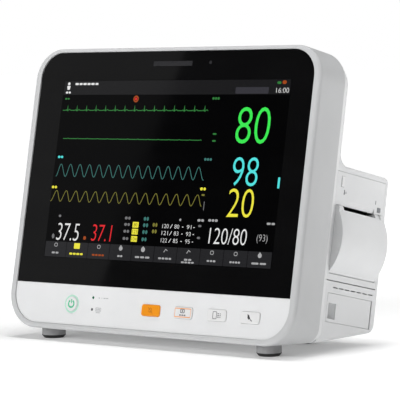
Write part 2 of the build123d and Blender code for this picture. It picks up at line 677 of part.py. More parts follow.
with BuildPart() as connector_panel:
    block((panel_face, -157.4), (-116.0, 8.0), (52.0, 120.0))
    fillet(connector_panel.edges().filter_by(Axis.X), 3.0)
    fillet(connector_panel.faces().sort_by(Axis.X)[0].edges(), 2.0)
    block((-157.5, -156.7), (-116.0, 8.0), (52.0, 120.0))
    block((-156.4, -154.8), (-117.5, 9.5), (50.5, 121.5))
    block((-157.0, -156.0), (-115.0, 7.0), (53.0, 119.0))
    for place, radius in ((ecg_place, 10.5), (spo2_place, 9.5), (temp_places[0], 5.5),
                          (temp_places[1], 5.5), (nibp_place, 7.5)):
        rod_across(radius, (-170, -150), *place, Mode.SUBTRACT)
connector_panel.part.label = "connector_panel"
export_step(connector_panel.part, "parts/connector_panel.step")


def round_socket(place, flange, barrel, bore):
    """Round patient socket: a flange on the panel, a barrel through it and a blind bore."""
    rod_across(flange, (socket_front, panel_face), *place)
    rod_across(barrel, (-164.0, -140.2), *place)
    rod_across(bore, (socket_front - 1, socket_front + socket_depth), *place, Mode.SUBTRACT)


with BuildPart() as ecg_socket:
    round_socket(ecg_place, 13.0, 10.4, ecg_radius)
    block((-162, -156), (ecg_place[0] + ecg_radius - 1, ecg_place[0] + ecg_radius + 1.2),
          (ecg_place[1] - 1.5, ecg_place[1] + 1.5), Mode.SUBTRACT)
ecg_socket.part.label = "ecg_socket"
export_step(ecg_socket.part, "parts/ecg_socket.step")

with BuildPart() as spo2_socket:
    round_socket(spo2_place, 12.0, 9.4, spo2_radius)
spo2_socket.part.label = "spo2_socket"
export_step(spo2_socket.part, "parts/spo2_socket.step")

with BuildPart() as temp_sockets:
    for place in temp_places:
        round_socket(place, 7.5, 5.4, temp_radius)
temp_sockets.part.label = "temp_sockets"
export_step(temp_sockets.part, "parts/temp_sockets.step")

with BuildPart() as nibp_port:
    rod_across(9.5, (socket_front, panel_face), *nibp_place)
    rod_across(6.5, (-169.5, -164), *nibp_place)
    fillet(nibp_port.faces().sort_by(Axis.X)[0].edges(), 0.8)
    rod_across(7.4, (-164.0, -150.0), *nibp_place)
    rod_across(2.2, (-150.5, -138.0), *nibp_place)
    rod_across(nibp_radius, (-170, -152), *nibp_place, Mode.SUBTRACT)
    rod_across(1.2, (-153, -137), *nibp_place, Mode.SUBTRACT)
nibp_port.part.label = "nibp_port"
export_step(nibp_port.part, "parts/nibp_port.step")

with BuildPart() as parameter_board:
    block((-139.6, -138.0), (-112.0, 3.0), (54.0, 92.0))
    block((-138.1, -131.0), (-62.0, -4.0), (57.0, 89.0))
    block((-138.1, -133.0), (-106.0, -72.0), (60.0, 86.0))
parameter_board.part.label = "parameter_board"
export_step(parameter_board.part, "parts/parameter_board.step")

pump_top = -97.0
pump_bottom = -120.5
tube_drop_x = -106.0
with BuildPart() as nibp_pump:
    block((-116.0, -96.0), (pump_bottom, pump_top), (86.0, 112.0))
    rod_across(11.5, (-96.5, -71.0), (pump_bottom + pump_top) / 2, 99.0)
    rod_up(2.2, tube_drop_x, (pump_top - 1, pump_top + 7), nibp_place[1])
nibp_pump.part.label = "nibp_pump"
export_step(nibp_pump.part, "parts/nibp_pump.step")

with BuildPart() as air_tube:
    with BuildLine(depth(nibp_place[1])) as tube_path:
        FilletPolyline((-146.0, nibp_place[0]), (tube_drop_x, nibp_place[0]), (tube_drop_x, pump_top + 0.4),
                       radius=14.0)
    with BuildSketch(Plane(origin=tube_path.line @ 0, z_dir=tube_path.line % 0)):
        Circle(3.6)
        Circle(2.2, mode=Mode.SUBTRACT)
    sweep()
air_tube.part.label = "air_tube"
export_step(air_tube.part, "parts/air_tube.step")

# ---------------------------------------------------------------- rear connections
tray_back = 117.0                # floor of the recess that holds the sockets
inlet_x, inlet_u = 20.0, -91.5
network_x = -30.0
usb_x = -60.5
stud_x = -94.0

with BuildPart() as io_panel:
    block((-110.0, 50.0), (-110.0, -73.0), (tray_back - 2, box_back))
    block((-108.0, 48.0), (-108.0, -75.0), (tray_back, box_back + 1), Mode.SUBTRACT)
    block((inlet_x - 14.2, inlet_x + 14.2), (inlet_u - 11.7, inlet_u + 11.7), (112, 120), Mode.SUBTRACT)
    block((network_x - 8.2, network_x + 8.2), (inlet_u - 7.2, inlet_u + 7.2), (112, 120), Mode.SUBTRACT)
    block((usb_x - 7.7, usb_x + 7.7), (inlet_u - 8.2, inlet_u + 8.2), (112, 120), Mode.SUBTRACT)
    rod_back(3.0, stud_x, inlet_u, (112, 120), Mode.SUBTRACT)
io_panel.part.label = "io_panel"
export_step(io_panel.part, "parts/io_panel.step")

with BuildPart() as ac_inlet:
    block((inlet_x - 25, inlet_x + 25), (inlet_u - 12.5, inlet_u + 12.5), (tray_back, tray_back + 1.6))
    fillet(ac_inlet.edges().filter_by(Axis((0, 0, 0), back)), 4.0)
    block((inlet_x - 14, inlet_x + 14), (inlet_u - 11.5, inlet_u + 11.5), (95.0, tray_back + 1))
    with BuildSketch(depth(101.0)):
        with Locations((inlet_x, inlet_u)):
            Rectangle(24.0, 16.5)
    extrude(amount=-20, mode=Mode.SUBTRACT)
    for blade_x, blade_u in ((-7.0, -2.0), (0.0, 2.0), (7.0, -2.0)):
        block((inlet_x + blade_x - 1, inlet_x + blade_x + 1),
              (inlet_u + blade_u - 2, inlet_u + blade_u + 2), (100.5, 112.5))
    for screw_x in (-20.0, 20.0):
        rod_back(1.7, inlet_x + screw_x, inlet_u, (110, 120), Mode.SUBTRACT)
ac_inlet.part.label = "ac_inlet"
export_step(ac_inlet.part, "parts/ac_inlet.step")

with BuildPart() as ethernet_jack:
    block((network_x - 8, network_x + 8), (inlet_u - 7, inlet_u + 7), (98.0, 118.2))
    block((network_x - 5.9, network_x + 5.9), (inlet_u - 5.0, inlet_u + 3.4), (104.0, 120), Mode.SUBTRACT)
    block((network_x - 3.0, network_x + 3.0), (inlet_u + 3.0, inlet_u + 5.2), (108.0, 120), Mode.SUBTRACT)
ethernet_jack.part.label = "ethernet_jack"
export_step(ethernet_jack.part, "parts/ethernet_jack.step")

with BuildPart() as usb_ports:
    block((usb_x - 7.5, usb_x + 7.5), (inlet_u - 8, inlet_u + 8), (99.0, 118.4))
    for port_u in (-4.0, 4.0):
        block((usb_x - 6.25, usb_x + 6.25), (inlet_u + port_u - 2.6, inlet_u + port_u + 2.6), (106, 120),
              Mode.SUBTRACT)
        block((usb_x - 5.5, usb_x + 5.5), (inlet_u + port_u + 0.4, inlet_u + port_u + 2.2), (105.5, 117.0))
usb_ports.part.label = "usb_ports"
export_step(usb_ports.part, "parts/usb_ports.step")

stud_radius = 3.0
with BuildPart() as ground_stud:
    with BuildSketch(depth(tray_back)):
        with Locations((stud_x, inlet_u)):
            RegularPolygon(6.0, 6)
    extrude(amount=-2.0)
    rod_back(stud_radius, stud_x, inlet_u, (108.0, 128.4))
    chamfer(ground_stud.faces().sort_by(Axis((0, 0, 0), back))[-1].edges(), 0.6)
ground_stud.part.label = "ground_stud"
export_step(ground_stud.part, "parts/ground_stud.step")

# ---------------------------------------------------------------- handle
# The bail hangs straight down from its two pins when it isn't in use.
handle_pivot = middle_of_glass + upward * handle_u + back * handle_d
grip_drop = 50.0
grip_radius = 7.0
arm_x = (59.0, 69.7)

with BuildPart() as carry_handle:
    with BuildSketch(Plane.XZ.offset(-handle_pivot.Y - 5.0)):
        with Locations((0, handle_pivot.Z - grip_drop / 2)):
            RectangleRounded(2 * arm_x[1], grip_drop + 14.0, 6.5)
            with Locations((0, 8.0)):
                Rectangle(2 * arm_x[0], grip_drop + 14.0, mode=Mode.SUBTRACT)
    extrude(amount=10.0)
    with BuildSketch(Plane.YZ.offset(-arm_x[0] - 3)):
        with Locations((handle_pivot.Y, handle_pivot.Z - grip_drop)):
            Ellipse(grip_radius + 1.5, grip_radius)
    extrude(amount=2 * arm_x[0] + 6)
    for end in (-1, 1):
        with BuildSketch(Plane.YZ.offset(end * arm_x[0])):
            with Locations((handle_pivot.Y, handle_pivot.Z)):
                Circle(7.0)
        extrude(amount=end * length(arm_x))
    with BuildSketch(Plane.YZ.offset(-100)):
        with Locations((handle_pivot.Y, handle_pivot.Z)):
            Circle(2.5 + hinge_clearance)
    extrude(amount=200, mode=Mode.SUBTRACT)
carry_handle.part.label = "carry_handle"
export_step(carry_handle.part, "parts/carry_handle.step")

with BuildPart() as handle_pins:
    for end in (-1, 1):
        rod_across(2.5, sorted((end * (arm_x[0] + 1.0), end * (ear_x[1]))), handle_u, handle_d)
        rod_across(4.5, sorted((end * ear_x[1], end * (ear_x[1] + 2.0))), handle_u, handle_d)
handle_pins.part.label = "handle_pins"
export_step(handle_pins.part, "parts/handle_pins.step")

# ---------------------------------------------------------------- inside
with BuildPart() as speaker:
    rod_back(18.0, *grille_centre, (115.0, box_back - rear_wall))
    rod_back(10.0, *grille_centre, (105.0, 115.5))
    with BuildSketch(depth(box_back - rear_wall)):
        with Locations(grille_centre):
            Circle(14.0)
    extrude(amount=4.0, taper=30, mode=Mode.SUBTRACT)
speaker.part.label = "speaker"
export_step(speaker.part, "parts/speaker.step")

with BuildPart() as chassis_plate:
    block((-140, 140), (-100, 94), (27.0, 28.4))
    block((-140, 140), (94, 95.2), (27.0, 33.0))
    block((-140, 140), (-101.2, -100), (27.0, 33.0))
    for hole_x in (-60, 0, 60):
        for hole_u in (-40, 30):
            block((hole_x - 16, hole_x + 16), (hole_u - 12, hole_u + 12), (26, 30), Mode.SUBTRACT)
chassis_plate.part.label = "chassis_plate"
export_step(chassis_plate.part, "parts/chassis_plate.step")

chip_places = [(-70, 40, 24, 24, 3.0), (-30, 42, 14, 14, 2.0), (0, 42, 14, 14, 2.0),
               (-72, -10, 20, 16, 4.5), (40, 20, 30, 10, 4.8), (30, -30, 26, 18, 3.2),
               (-20, -20, 18, 18, 2.4)]
with BuildPart() as main_board:
    block((-100, 80), (-60, 70), (22.0, 23.6))
    for chip_x, chip_u, chip_w, chip_h, chip_t in chip_places:
        block((chip_x - chip_w / 2, chip_x + chip_w / 2), (chip_u - chip_h / 2, chip_u + chip_h / 2),
              (22.1 - chip_t, 22.1))
    for post_x in (-95, 75):
        for post_u in (-55, 65):
            rod_back(2.5, post_x, post_u, (23.5, 27.0))
main_board.part.label = "main_board"
export_step(main_board.part, "parts/main_board.step")

with BuildPart() as power_board:
    block((-56, 76), (-62, 4), (96.0, 97.6))
    block((-14, 22), (-44, -10), (72.0, 96.1))
    block((44, 48), (-56, 0), (70.0, 96.1))
    for cap_u in (-50, -30, -10):
        rod_back(8.0, -38, cap_u, (70.0, 96.1))
    block((56, 70), (-40, -20), (82.0, 96.1))
power_board.part.label = "power_board"
export_step(power_board.part, "parts/power_board.step")

# ---------------------------------------------------------------- underside
with BuildPart() as mount_plate:
    with BuildSketch(Plane.XY.offset(case_bottom)):
        with Locations((0, mount_y)):
            RectangleRounded(mount_size[0], mount_size[1], 1.5)
    extrude(amount=rear_wall)
    with BuildSketch(Plane.XY.offset(case_bottom + rear_wall)):
        with Locations((0, mount_y)):
            Rectangle(mount_size[0] + 12, mount_size[1] + 8)
    extrude(amount=1.5)
    with BuildSketch(Plane.XY.offset(case_bottom - 1)):
        with Locations((0, mount_y)):
            with GridLocations(mount_spacing[0], mount_spacing[1], 2, 2):
                Circle(mount_hole_radius)
    extrude(amount=8, mode=Mode.SUBTRACT)
mount_plate.part.label = "mount_plate"
export_step(mount_plate.part, "parts/mount_plate.step")

with BuildPart() as rubber_feet:
    for x, y in foot_points:
        with BuildSketch(Plane(origin=(x, y, 0), x_dir=(1, 0, 0), z_dir=(0, -1, 0))):
            Polygon((1.9, 4.5), (4.2, 4.5), (4.2, 0), (8.8, 0), (foot_radius, 2.4),
                    (foot_radius, case_bottom), (1.9, case_bottom), align=None)
        revolve(axis=Axis((x, y, 0), (0, 0, 1)))
rubber_feet.part.label = "rubber_feet"
export_step(rubber_feet.part, "parts/rubber_feet.step")

with BuildPart() as foot_screws:
    for x, y in foot_points:
        with BuildSketch(Plane.XY.offset(2.0)):
            with Locations((x, y)):
                Circle(3.4)
        extrude(amount=2.5)
        with BuildSketch(Plane.XY.offset(4.4)):
            with Locations((x, y)):
                Circle(1.75)
        extrude(amount=10.4)
foot_screws.part.label = "foot_screws"
export_step(foot_screws.part, "parts/foot_screws.step")

with BuildPart() as housing_screws:
    for x, u in boss_points:
        rod_back(3.1, x, u, (slim_back - 2.0, slim_back - 0.2))
        rod_back(1.3, x, u, (bezel_depth - 12, slim_back - 1.9))
        block((x - 2.0, x + 2.0), (u - 0.4, u + 0.4), (slim_back - 0.9, slim_back), Mode.SUBTRACT)
        block((x - 0.4, x + 0.4), (u - 2.0, u + 2.0), (slim_back - 0.9, slim_back), Mode.SUBTRACT)
housing_screws.part.label = "housing_screws"
export_step(housing_screws.part, "parts/housing_screws.step")
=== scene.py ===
import bpy
import bmesh
from math import cos, pi, radians, sin
from mathutils import Matrix, Vector
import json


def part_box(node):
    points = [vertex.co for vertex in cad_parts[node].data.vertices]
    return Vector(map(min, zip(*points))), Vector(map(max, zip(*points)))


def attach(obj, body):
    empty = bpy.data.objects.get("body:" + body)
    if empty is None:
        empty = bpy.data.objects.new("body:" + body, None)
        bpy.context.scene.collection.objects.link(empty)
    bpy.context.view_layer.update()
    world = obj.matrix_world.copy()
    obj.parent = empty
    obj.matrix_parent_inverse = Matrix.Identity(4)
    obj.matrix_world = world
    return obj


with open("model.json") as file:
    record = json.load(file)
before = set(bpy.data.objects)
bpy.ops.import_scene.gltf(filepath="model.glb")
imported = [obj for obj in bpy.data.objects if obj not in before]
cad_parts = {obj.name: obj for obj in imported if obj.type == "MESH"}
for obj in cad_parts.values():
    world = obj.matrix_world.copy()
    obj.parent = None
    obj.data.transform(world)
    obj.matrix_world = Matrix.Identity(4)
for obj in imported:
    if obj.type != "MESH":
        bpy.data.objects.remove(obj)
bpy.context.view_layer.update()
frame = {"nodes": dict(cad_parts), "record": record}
nodes = frame["nodes"]

# ------------------------------------------------------------------ working planes
# The face leans back. On every plane below, points are (across, up, outwards) in millimetres.
MM = 0.001
TILT = radians(11.7)
BACK = Vector((0, cos(TILT), -sin(TILT)))
UP = Vector((0, sin(TILT), cos(TILT)))
RIGHT = Vector((1, 0, 0))

glass_low, glass_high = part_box("touch_glass")
GLASS_THICKNESS = 1.8
GLASS_MIDDLE = (Vector(glass_low) + Vector(glass_high)) / 2 - BACK * GLASS_THICKNESS / 2 * MM


def plane(across, up, outwards):
    turn = Matrix((across, up, outwards)).transposed().to_4x4()
    return Matrix.Translation(GLASS_MIDDLE) @ turn @ Matrix.Scale(MM, 4)


FRONT = plane(RIGHT, UP, -BACK)          # (x, u, height in front of the glass)
PRINTER_SIDE = plane(BACK, UP, RIGHT)    # (d, u, x)
SOCKET_SIDE = plane(-BACK, UP, -RIGHT)   # (-d, u, -x)
REAR = plane(-RIGHT, UP, BACK)           # (-x, u, d)


# ------------------------------------------------------------------ mesh helpers
def prism(bm, outline, low, high):
    """A flat-topped piece with this outline, between two heights."""
    bottom = [bm.verts.new((x, y, low)) for x, y in outline]
    top = [bm.verts.new((x, y, high)) for x, y in outline]
    bm.faces.new(list(reversed(bottom)))
    bm.faces.new(top)
    for i in range(len(outline)):
        j = (i + 1) % len(outline)
        bm.faces.new((bottom[i], bottom[j], top[j], top[i]))


def rounded(x, y, width, height, radius, steps=6):
    """Outline of a rectangle about (x, y) with round corners."""
    outline = []
    for corner, (sx, sy) in enumerate(((1, 1), (-1, 1), (-1, -1), (1, -1))):
        cx = x + sx * (width / 2 - radius)
        cy = y + sy * (height / 2 - radius)
        for step in range(steps + 1):
            turn = pi / 2 * (corner + step / steps)
            outline.append((cx + radius * cos(turn), cy + radius * sin(turn)))
    return outline


def circle(x, y, radius, steps=32):
    turns = [2 * pi * i / steps for i in range(steps)]
    return [(x + radius * cos(turn), y + radius * sin(turn)) for turn in turns]


def stroke(bm, points, width, low, high, closed=False):
    """A line of even width along these points."""
    count = len(points)
    left, right = [], []
    for i, point in enumerate(points):
        before = points[i - 1] if i > 0 or closed else point
        after = points[(i + 1) % count] if i < count - 1 or closed else point
        along = Vector(after) - Vector(before)
        along.normalize()
        side = Vector((-along.y, along.x)) * width / 2
        left.append((point[0] + side.x, point[1] + side.y))
        right.append((point[0] - side.x, point[1] - side.y))
    rings = []
    for (lx, ly), (rx, ry) in zip(left, right):
        section = ((lx, ly, low), (rx, ry, low), (rx, ry, high), (lx, ly, high))
        rings.append([bm.verts.new(corner) for corner in section])
    pairs = list(zip(rings, rings[1:])) + ([(rings[-1], rings[0])] if closed else [])
    for a, b in pairs:
        for i in range(4):
            j = (i + 1) % 4
            bm.faces.new((a[i], a[j], b[j], b[i]))
    if not closed:
        bm.faces.new(list(reversed(rings[0])))
        bm.faces.new(rings[-1])


def number(bm, text, x, y, height, width, low, high, slant=0.0):
    """Digits that fill this box, (x, y) being its lower left corner."""
    curve = bpy.data.curves.new("number", "FONT")
    curve.body = text
    curve.resolution_u = 4
    curve.extrude = 0.5
    curve.offset = -0.012                # strokes a little thinner than the font's
    holder = bpy.data.objects.new("number", curve)
    mesh = bpy.data.meshes.new_from_object(holder)
    xs = [v.co.x for v in mesh.vertices]
    ys = [v.co.y for v in mesh.vertices]
    stretch_x = width / (max(xs) - min(xs))
    stretch_y = height / (max(ys) - min(ys))
    start = len(bm.verts)
    bm.from_mesh(mesh)
    bm.verts.ensure_lookup_table()
    for vert in bm.verts[start:]:
        up = (vert.co.y - min(ys)) * stretch_y
        across = (vert.co.x - min(xs)) * stretch_x + slant * up
        vert.co = (x + across, y + up, high if vert.co.z > 0 else low)
    bpy.data.objects.remove(holder)
    bpy.data.curves.remove(curve)
    bpy.data.meshes.remove(mesh)


def piece(name, body, base, material, build):
    """One mesh piece, built in a working plane and put in the row frame."""
    bm = bmesh.new()
    build(bm)
    bmesh.ops.remove_doubles(bm, verts=bm.verts, dist=0.0005)
    bmesh.ops.recalc_face_normals(bm, faces=bm.faces)
    bm.transform(base)
    mesh = bpy.data.meshes.new(name)
    bm.to_mesh(mesh)
    bm.free()
    mesh.materials.append(material)
    obj = bpy.data.objects.new(name, mesh)
    bpy.context.scene.collection.objects.link(obj)
    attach(obj, body)
    return obj


# ------------------------------------------------------------------ materials
GLASS_SPECULAR = 0.25        # the cover glass has an anti-reflection coating


def new_material(name):
    material = bpy.data.materials.new(name)
    material.use_nodes = True
    tree = material.node_tree
    return material, tree.nodes, tree.links, tree.nodes["Principled BSDF"]


def noise(tree_nodes, links, scale, detail, stretch=None):
    """Noise in the object's own coordinates, which are metres."""
    place = tree_nodes.new("ShaderNodeTexCoord")
    texture = tree_nodes.new("ShaderNodeTexNoise")
    texture.inputs["Scale"].default_value = scale
    texture.inputs["Detail"].default_value = detail
    if stretch:
        mapping = tree_nodes.new("ShaderNodeMapping")
        mapping.inputs["Scale"].default_value = stretch
        links.new(place.outputs["Object"], mapping.inputs["Vector"])
        links.new(mapping.outputs["Vector"], texture.inputs["Vector"])
    else:
        links.new(place.outputs["Object"], texture.inputs["Vector"])
    return texture


def ramp(tree_nodes, links, source, low, high, at=(0.35, 0.65)):
    """Turns a value into a colour between low and high."""
    colours = tree_nodes.new("ShaderNodeValToRGB")
    colours.color_ramp.elements[0].position = at[0]
    colours.color_ramp.elements[0].color = (*low, 1)
    colours.color_ramp.elements[1].position = at[1]
    colours.color_ramp.elements[1].color = (*high, 1)
    links.new(source, colours.inputs["Fac"])
    return colours.outputs["Color"]


def spread(tree_nodes, links, source, low, high):
    """Turns a value of 0 to 1 into one between low and high."""
    scaled = tree_nodes.new("ShaderNodeMapRange")
    scaled.inputs["From Min"].default_value = 0.3
    scaled.inputs["From Max"].default_value = 0.7
    scaled.inputs["To Min"].default_value = low
    scaled.inputs["To Max"].default_value = high
    links.new(source, scaled.inputs["Value"])
    return scaled.outputs["Result"]


def bump(tree_nodes, links, shader, source, strength, distance):
    relief = tree_nodes.new("ShaderNodeBump")
    relief.inputs["Strength"].default_value = strength
    relief.inputs["Distance"].default_value = distance
    links.new(source, relief.inputs["Height"])
    links.new(relief.outputs["Normal"], shader.inputs["Normal"])


def moulded(name, colour, tint, rough, grain, relief):
    """Injection-moulded plastic: fine spark-eroded grain and a faint mottle."""
    material, tree_nodes, links, shader = new_material(name)
    mottle = noise(tree_nodes, links, 26, 3.0)
    texture = noise(tree_nodes, links, grain, 2.0)
    links.new(ramp(tree_nodes, links, mottle.outputs["Fac"], tint, colour), shader.inputs["Base Color"])
    links.new(spread(tree_nodes, links, texture.outputs["Fac"], *rough), shader.inputs["Roughness"])
    bump(tree_nodes, links, shader, texture.outputs["Fac"], relief, 0.00004)
    return material


def metal(name, colour, tint, rough, scale=90):
    """Drawn or brushed metal: fine lines along one direction."""
    material, tree_nodes, links, shader = new_material(name)
    lines = noise(tree_nodes, links, scale, 5.0, (1, 1, 60))
    links.new(ramp(tree_nodes, links, lines.outputs["Fac"], tint, colour), shader.inputs["Base Color"])
    links.new(spread(tree_nodes, links, lines.outputs["Fac"], *rough), shader.inputs["Roughness"])
    bump(tree_nodes, links, shader, lines.outputs["Fac"], 0.08, 0.00003)
    shader.inputs["Metallic"].default_value = 1.0
    return material


def lit(name, colour, dim, strength):
    """Lit display colour, with the fine dot structure of a panel."""
    material, tree_nodes, links, shader = new_material(name)
    dots = noise(tree_nodes, links, 900, 1.0)
    shade = ramp(tree_nodes, links, dots.outputs["Fac"], dim, colour, (0.3, 0.55))
    links.new(shade, shader.inputs["Emission Color"])
    links.new(spread(tree_nodes, links, dots.outputs["Fac"], 0.06, 0.12), shader.inputs["Roughness"])
    shader.inputs["Emission Strength"].default_value = strength
    shader.inputs["Base Color"].default_value = (0.004, 0.004, 0.004, 1)
    shader.inputs["Specular IOR Level"].default_value = GLASS_SPECULAR
    return material


def glossy_black(name, colour, tint, rough, specular=0.5):
    """Black glass: deep, with the faintest smears from wiping."""
    material, tree_nodes, links, shader = new_material(name)
    smears = noise(tree_nodes, links, 14, 6.0, (1, 1, 3))
    links.new(ramp(tree_nodes, links, smears.outputs["Fac"], tint, colour), shader.inputs["Base Color"])
    links.new(spread(tree_nodes, links, smears.outputs["Fac"], *rough), shader.inputs["Roughness"])
    bump(tree_nodes, links, shader, smears.outputs["Fac"], 0.02, 0.00002)
    shader.inputs["Specular IOR Level"].default_value = specular
    return material


def board(name):
    """Circuit board: green mask over darker tracks."""
    material, tree_nodes, links, shader = new_material(name)
    place = tree_nodes.new("ShaderNodeTexCoord")
    tracks = tree_nodes.new("ShaderNodeTexBrick")
    tracks.inputs["Scale"].default_value = 260
    tracks.inputs["Color1"].default_value = (0.015, 0.15, 0.06, 1)
    tracks.inputs["Color2"].default_value = (0.02, 0.20, 0.08, 1)
    tracks.inputs["Mortar"].default_value = (0.03, 0.28, 0.12, 1)
    tracks.inputs["Mortar Size"].default_value = 0.05
    links.new(place.outputs["Object"], tracks.inputs["Vector"])
    links.new(tracks.outputs["Color"], shader.inputs["Base Color"])
    mask = noise(tree_nodes, links, 400, 3.0)
    links.new(spread(tree_nodes, links, mask.outputs["Fac"], 0.25, 0.4), shader.inputs["Roughness"])
    bump(tree_nodes, links, shader, tracks.outputs["Fac"], 0.2, 0.00003)
    return material


def paper(name):
    material, tree_nodes, links, shader = new_material(name)
    fibres = noise(tree_nodes, links, 700, 6.0)
    links.new(ramp(tree_nodes, links, fibres.outputs["Fac"], (0.84, 0.84, 0.82), (0.92, 0.92, 0.90)),
              shader.inputs["Base Color"])
    links.new(spread(tree_nodes, links, fibres.outputs["Fac"], 0.7, 0.85), shader.inputs["Roughness"])
    bump(tree_nodes, links, shader, fibres.outputs["Fac"], 0.15, 0.00003)
    return material


white = moulded("white_shell", (0.73, 0.735, 0.74), (0.70, 0.705, 0.71), (0.36, 0.52), 2200, 0.12)
# painted shade: a darker copy of the white shell, so the bezel's side wall reads as in shade; the bezel
# is the same white plastic
bezel_white_painted_shade = moulded("bezel_white_painted_shade", (0.55, 0.555, 0.56), (0.53, 0.535, 0.54), (0.34, 0.48), 2400, 0.10)
satin_white = moulded("panel_white", (0.78, 0.785, 0.79), (0.755, 0.76, 0.765), (0.30, 0.40), 3000, 0.05)
white_key = moulded("key_white", (0.77, 0.77, 0.77), (0.74, 0.74, 0.74), (0.32, 0.45), 3000, 0.05)
orange_key = moulded("key_orange", (0.88, 0.32, 0.008), (0.82, 0.27, 0.006), (0.30, 0.42), 3000, 0.05)
grey = moulded("grey_plastic", (0.26, 0.27, 0.28), (0.22, 0.23, 0.24), (0.45, 0.60), 1800, 0.18)
black = moulded("black_plastic", (0.022, 0.022, 0.024), (0.016, 0.016, 0.018), (0.42, 0.60), 1800, 0.18)
gear_plastic = moulded("gear_plastic", (0.80, 0.78, 0.70), (0.74, 0.72, 0.64), (0.35, 0.5), 1500, 0.08)
rubber = moulded("foot_rubber", (0.34, 0.34, 0.345), (0.30, 0.30, 0.305), (0.70, 0.88), 900, 0.30)
black_rubber = moulded("platen_rubber", (0.025, 0.025, 0.025), (0.018, 0.018, 0.018), (0.65, 0.8),
                       1200, 0.25)
tube = moulded("silicone_tube", (0.62, 0.65, 0.65), (0.55, 0.58, 0.58), (0.30, 0.45), 500, 0.10)
ecg_green = moulded("socket_green", (0.02, 0.30, 0.12), (0.015, 0.25, 0.10), (0.28, 0.40), 2000, 0.06)
spo2_blue = moulded("socket_blue", (0.02, 0.10, 0.42), (0.015, 0.08, 0.36), (0.28, 0.40), 2000, 0.06)
temp_brown = moulded("socket_brown", (0.16, 0.07, 0.03), (0.13, 0.055, 0.025), (0.28, 0.40), 2000, 0.06)
battery_grey = moulded("battery_wrap", (0.05, 0.055, 0.06), (0.04, 0.045, 0.05), (0.25, 0.38), 800, 0.06)
smoke = glossy_black("smoke_lens", (0.030, 0.030, 0.032), (0.024, 0.024, 0.026), (0.22, 0.34), 0.15)
glass = glossy_black("black_glass", (0.0028, 0.0028, 0.0030), (0.0018, 0.0018, 0.0020), (0.03, 0.06),
                     GLASS_SPECULAR)
display = glossy_black("display_back", (0.02, 0.02, 0.022), (0.012, 0.012, 0.014), (0.2, 0.3))
steel = metal("steel", (0.60, 0.60, 0.61), (0.50, 0.50, 0.51), (0.22, 0.36))
chrome = metal("chrome", (0.78, 0.78, 0.80), (0.70, 0.70, 0.72), (0.06, 0.14))
aluminium = metal("aluminium", (0.74, 0.75, 0.76), (0.66, 0.67, 0.68), (0.28, 0.42))
brass = metal("brass", (0.72, 0.52, 0.22), (0.62, 0.44, 0.18), (0.22, 0.34))
circuit = board("circuit_board")
roll = paper("paper")
ring_light = moulded("light_ring", (0.78, 0.88, 0.83), (0.74, 0.84, 0.79), (0.25, 0.35), 2500, 0.03)
lamp = moulded("led_lens", (0.10, 0.14, 0.12), (0.07, 0.10, 0.09), (0.18, 0.28), 1500, 0.03)

finish = {
    "white_shell": white, "panel_white": satin_white, "key_orange": orange_key,
    "key_white": white_key, "black_glass": glass, "smoke_lens": smoke, "light_ring": ring_light,
    "led_lens": lamp, "grey_plastic": grey, "black_plastic": black, "rubber": rubber,
    "black_rubber": black_rubber, "clear_tube": tube, "circuit_board": circuit, "display": display,
    "steel": steel, "chrome": chrome, "aluminium": aluminium, "brass": brass,
    "gear_plastic": gear_plastic, "ecg_green": ecg_green, "spo2_blue": spo2_blue,
    "temp_brown": temp_brown, "battery_grey": battery_grey, "paper": roll,
}
for part in frame["record"]["subparts"]:
    mesh = nodes[part["node"]].data
    mesh.materials.clear()
    # the front bezel gets the darker copy of the white, which is painted shade
    bezel = part["node"] == "front_bezel"
    mesh.materials.append(bezel_white_painted_shade if bezel else finish[part["material_slot"]])

# ------------------------------------------------------------------ camera and studio
bpy.context.scene.view_settings.view_transform = "Standard"

CAMERA_AZIMUTH = radians(38.0)
CAMERA_PITCH = radians(3.51)
CAMERA_ROLL = radians(-0.78)
CAMERA_FROM_GLASS = Vector((1.2607, -1.5581, 0.0951))
CAMERA_LENS = 201.5
CAMERA_SENSOR = 36

flat_share = cos(CAMERA_PITCH)
forward = Vector((-sin(CAMERA_AZIMUTH) * flat_share, cos(CAMERA_AZIMUTH) * flat_share,
                  -sin(CAMERA_PITCH)))
level_right = Vector((cos(CAMERA_AZIMUTH), sin(CAMERA_AZIMUTH), 0))
level_up = level_right.cross(forward)
camera_right = level_right * cos(CAMERA_ROLL) + level_up * sin(CAMERA_ROLL)
camera_up = level_up * cos(CAMERA_ROLL) - level_right * sin(CAMERA_ROLL)
camera_data = bpy.data.cameras.new("camera")
camera_data.lens = CAMERA_LENS
camera_data.sensor_width = CAMERA_SENSOR
camera = bpy.data.objects.new("camera", camera_data)
turned = Matrix((camera_right, camera_up, -forward)).transposed().to_4x4()
camera.matrix_world = Matrix.Translation(GLASS_MIDDLE + CAMERA_FROM_GLASS) @ turned
bpy.context.scene.collection.objects.link(camera)
bpy.context.scene.camera = camera

FLOOR_REACH = 40
floor_corners = [(x * FLOOR_REACH, y * FLOOR_REACH, 0) for x, y in ((-1, -1), (1, -1), (1, 1), (-1, 1))]
floor_mesh = bpy.data.meshes.new("floor")
floor_mesh.from_pydata(floor_corners, [], [(0, 1, 2, 3)])
floor = bpy.data.objects.new("floor", floor_mesh)
floor_material, floor_nodes, floor_links, floor_shader = new_material("floor")
floor_shader.inputs["Base Color"].default_value = (0.95, 0.95, 0.95, 1)
floor_shader.inputs["Roughness"].default_value = 0.9
floor_shader.inputs["Emission Color"].default_value = (1, 1, 1, 1)
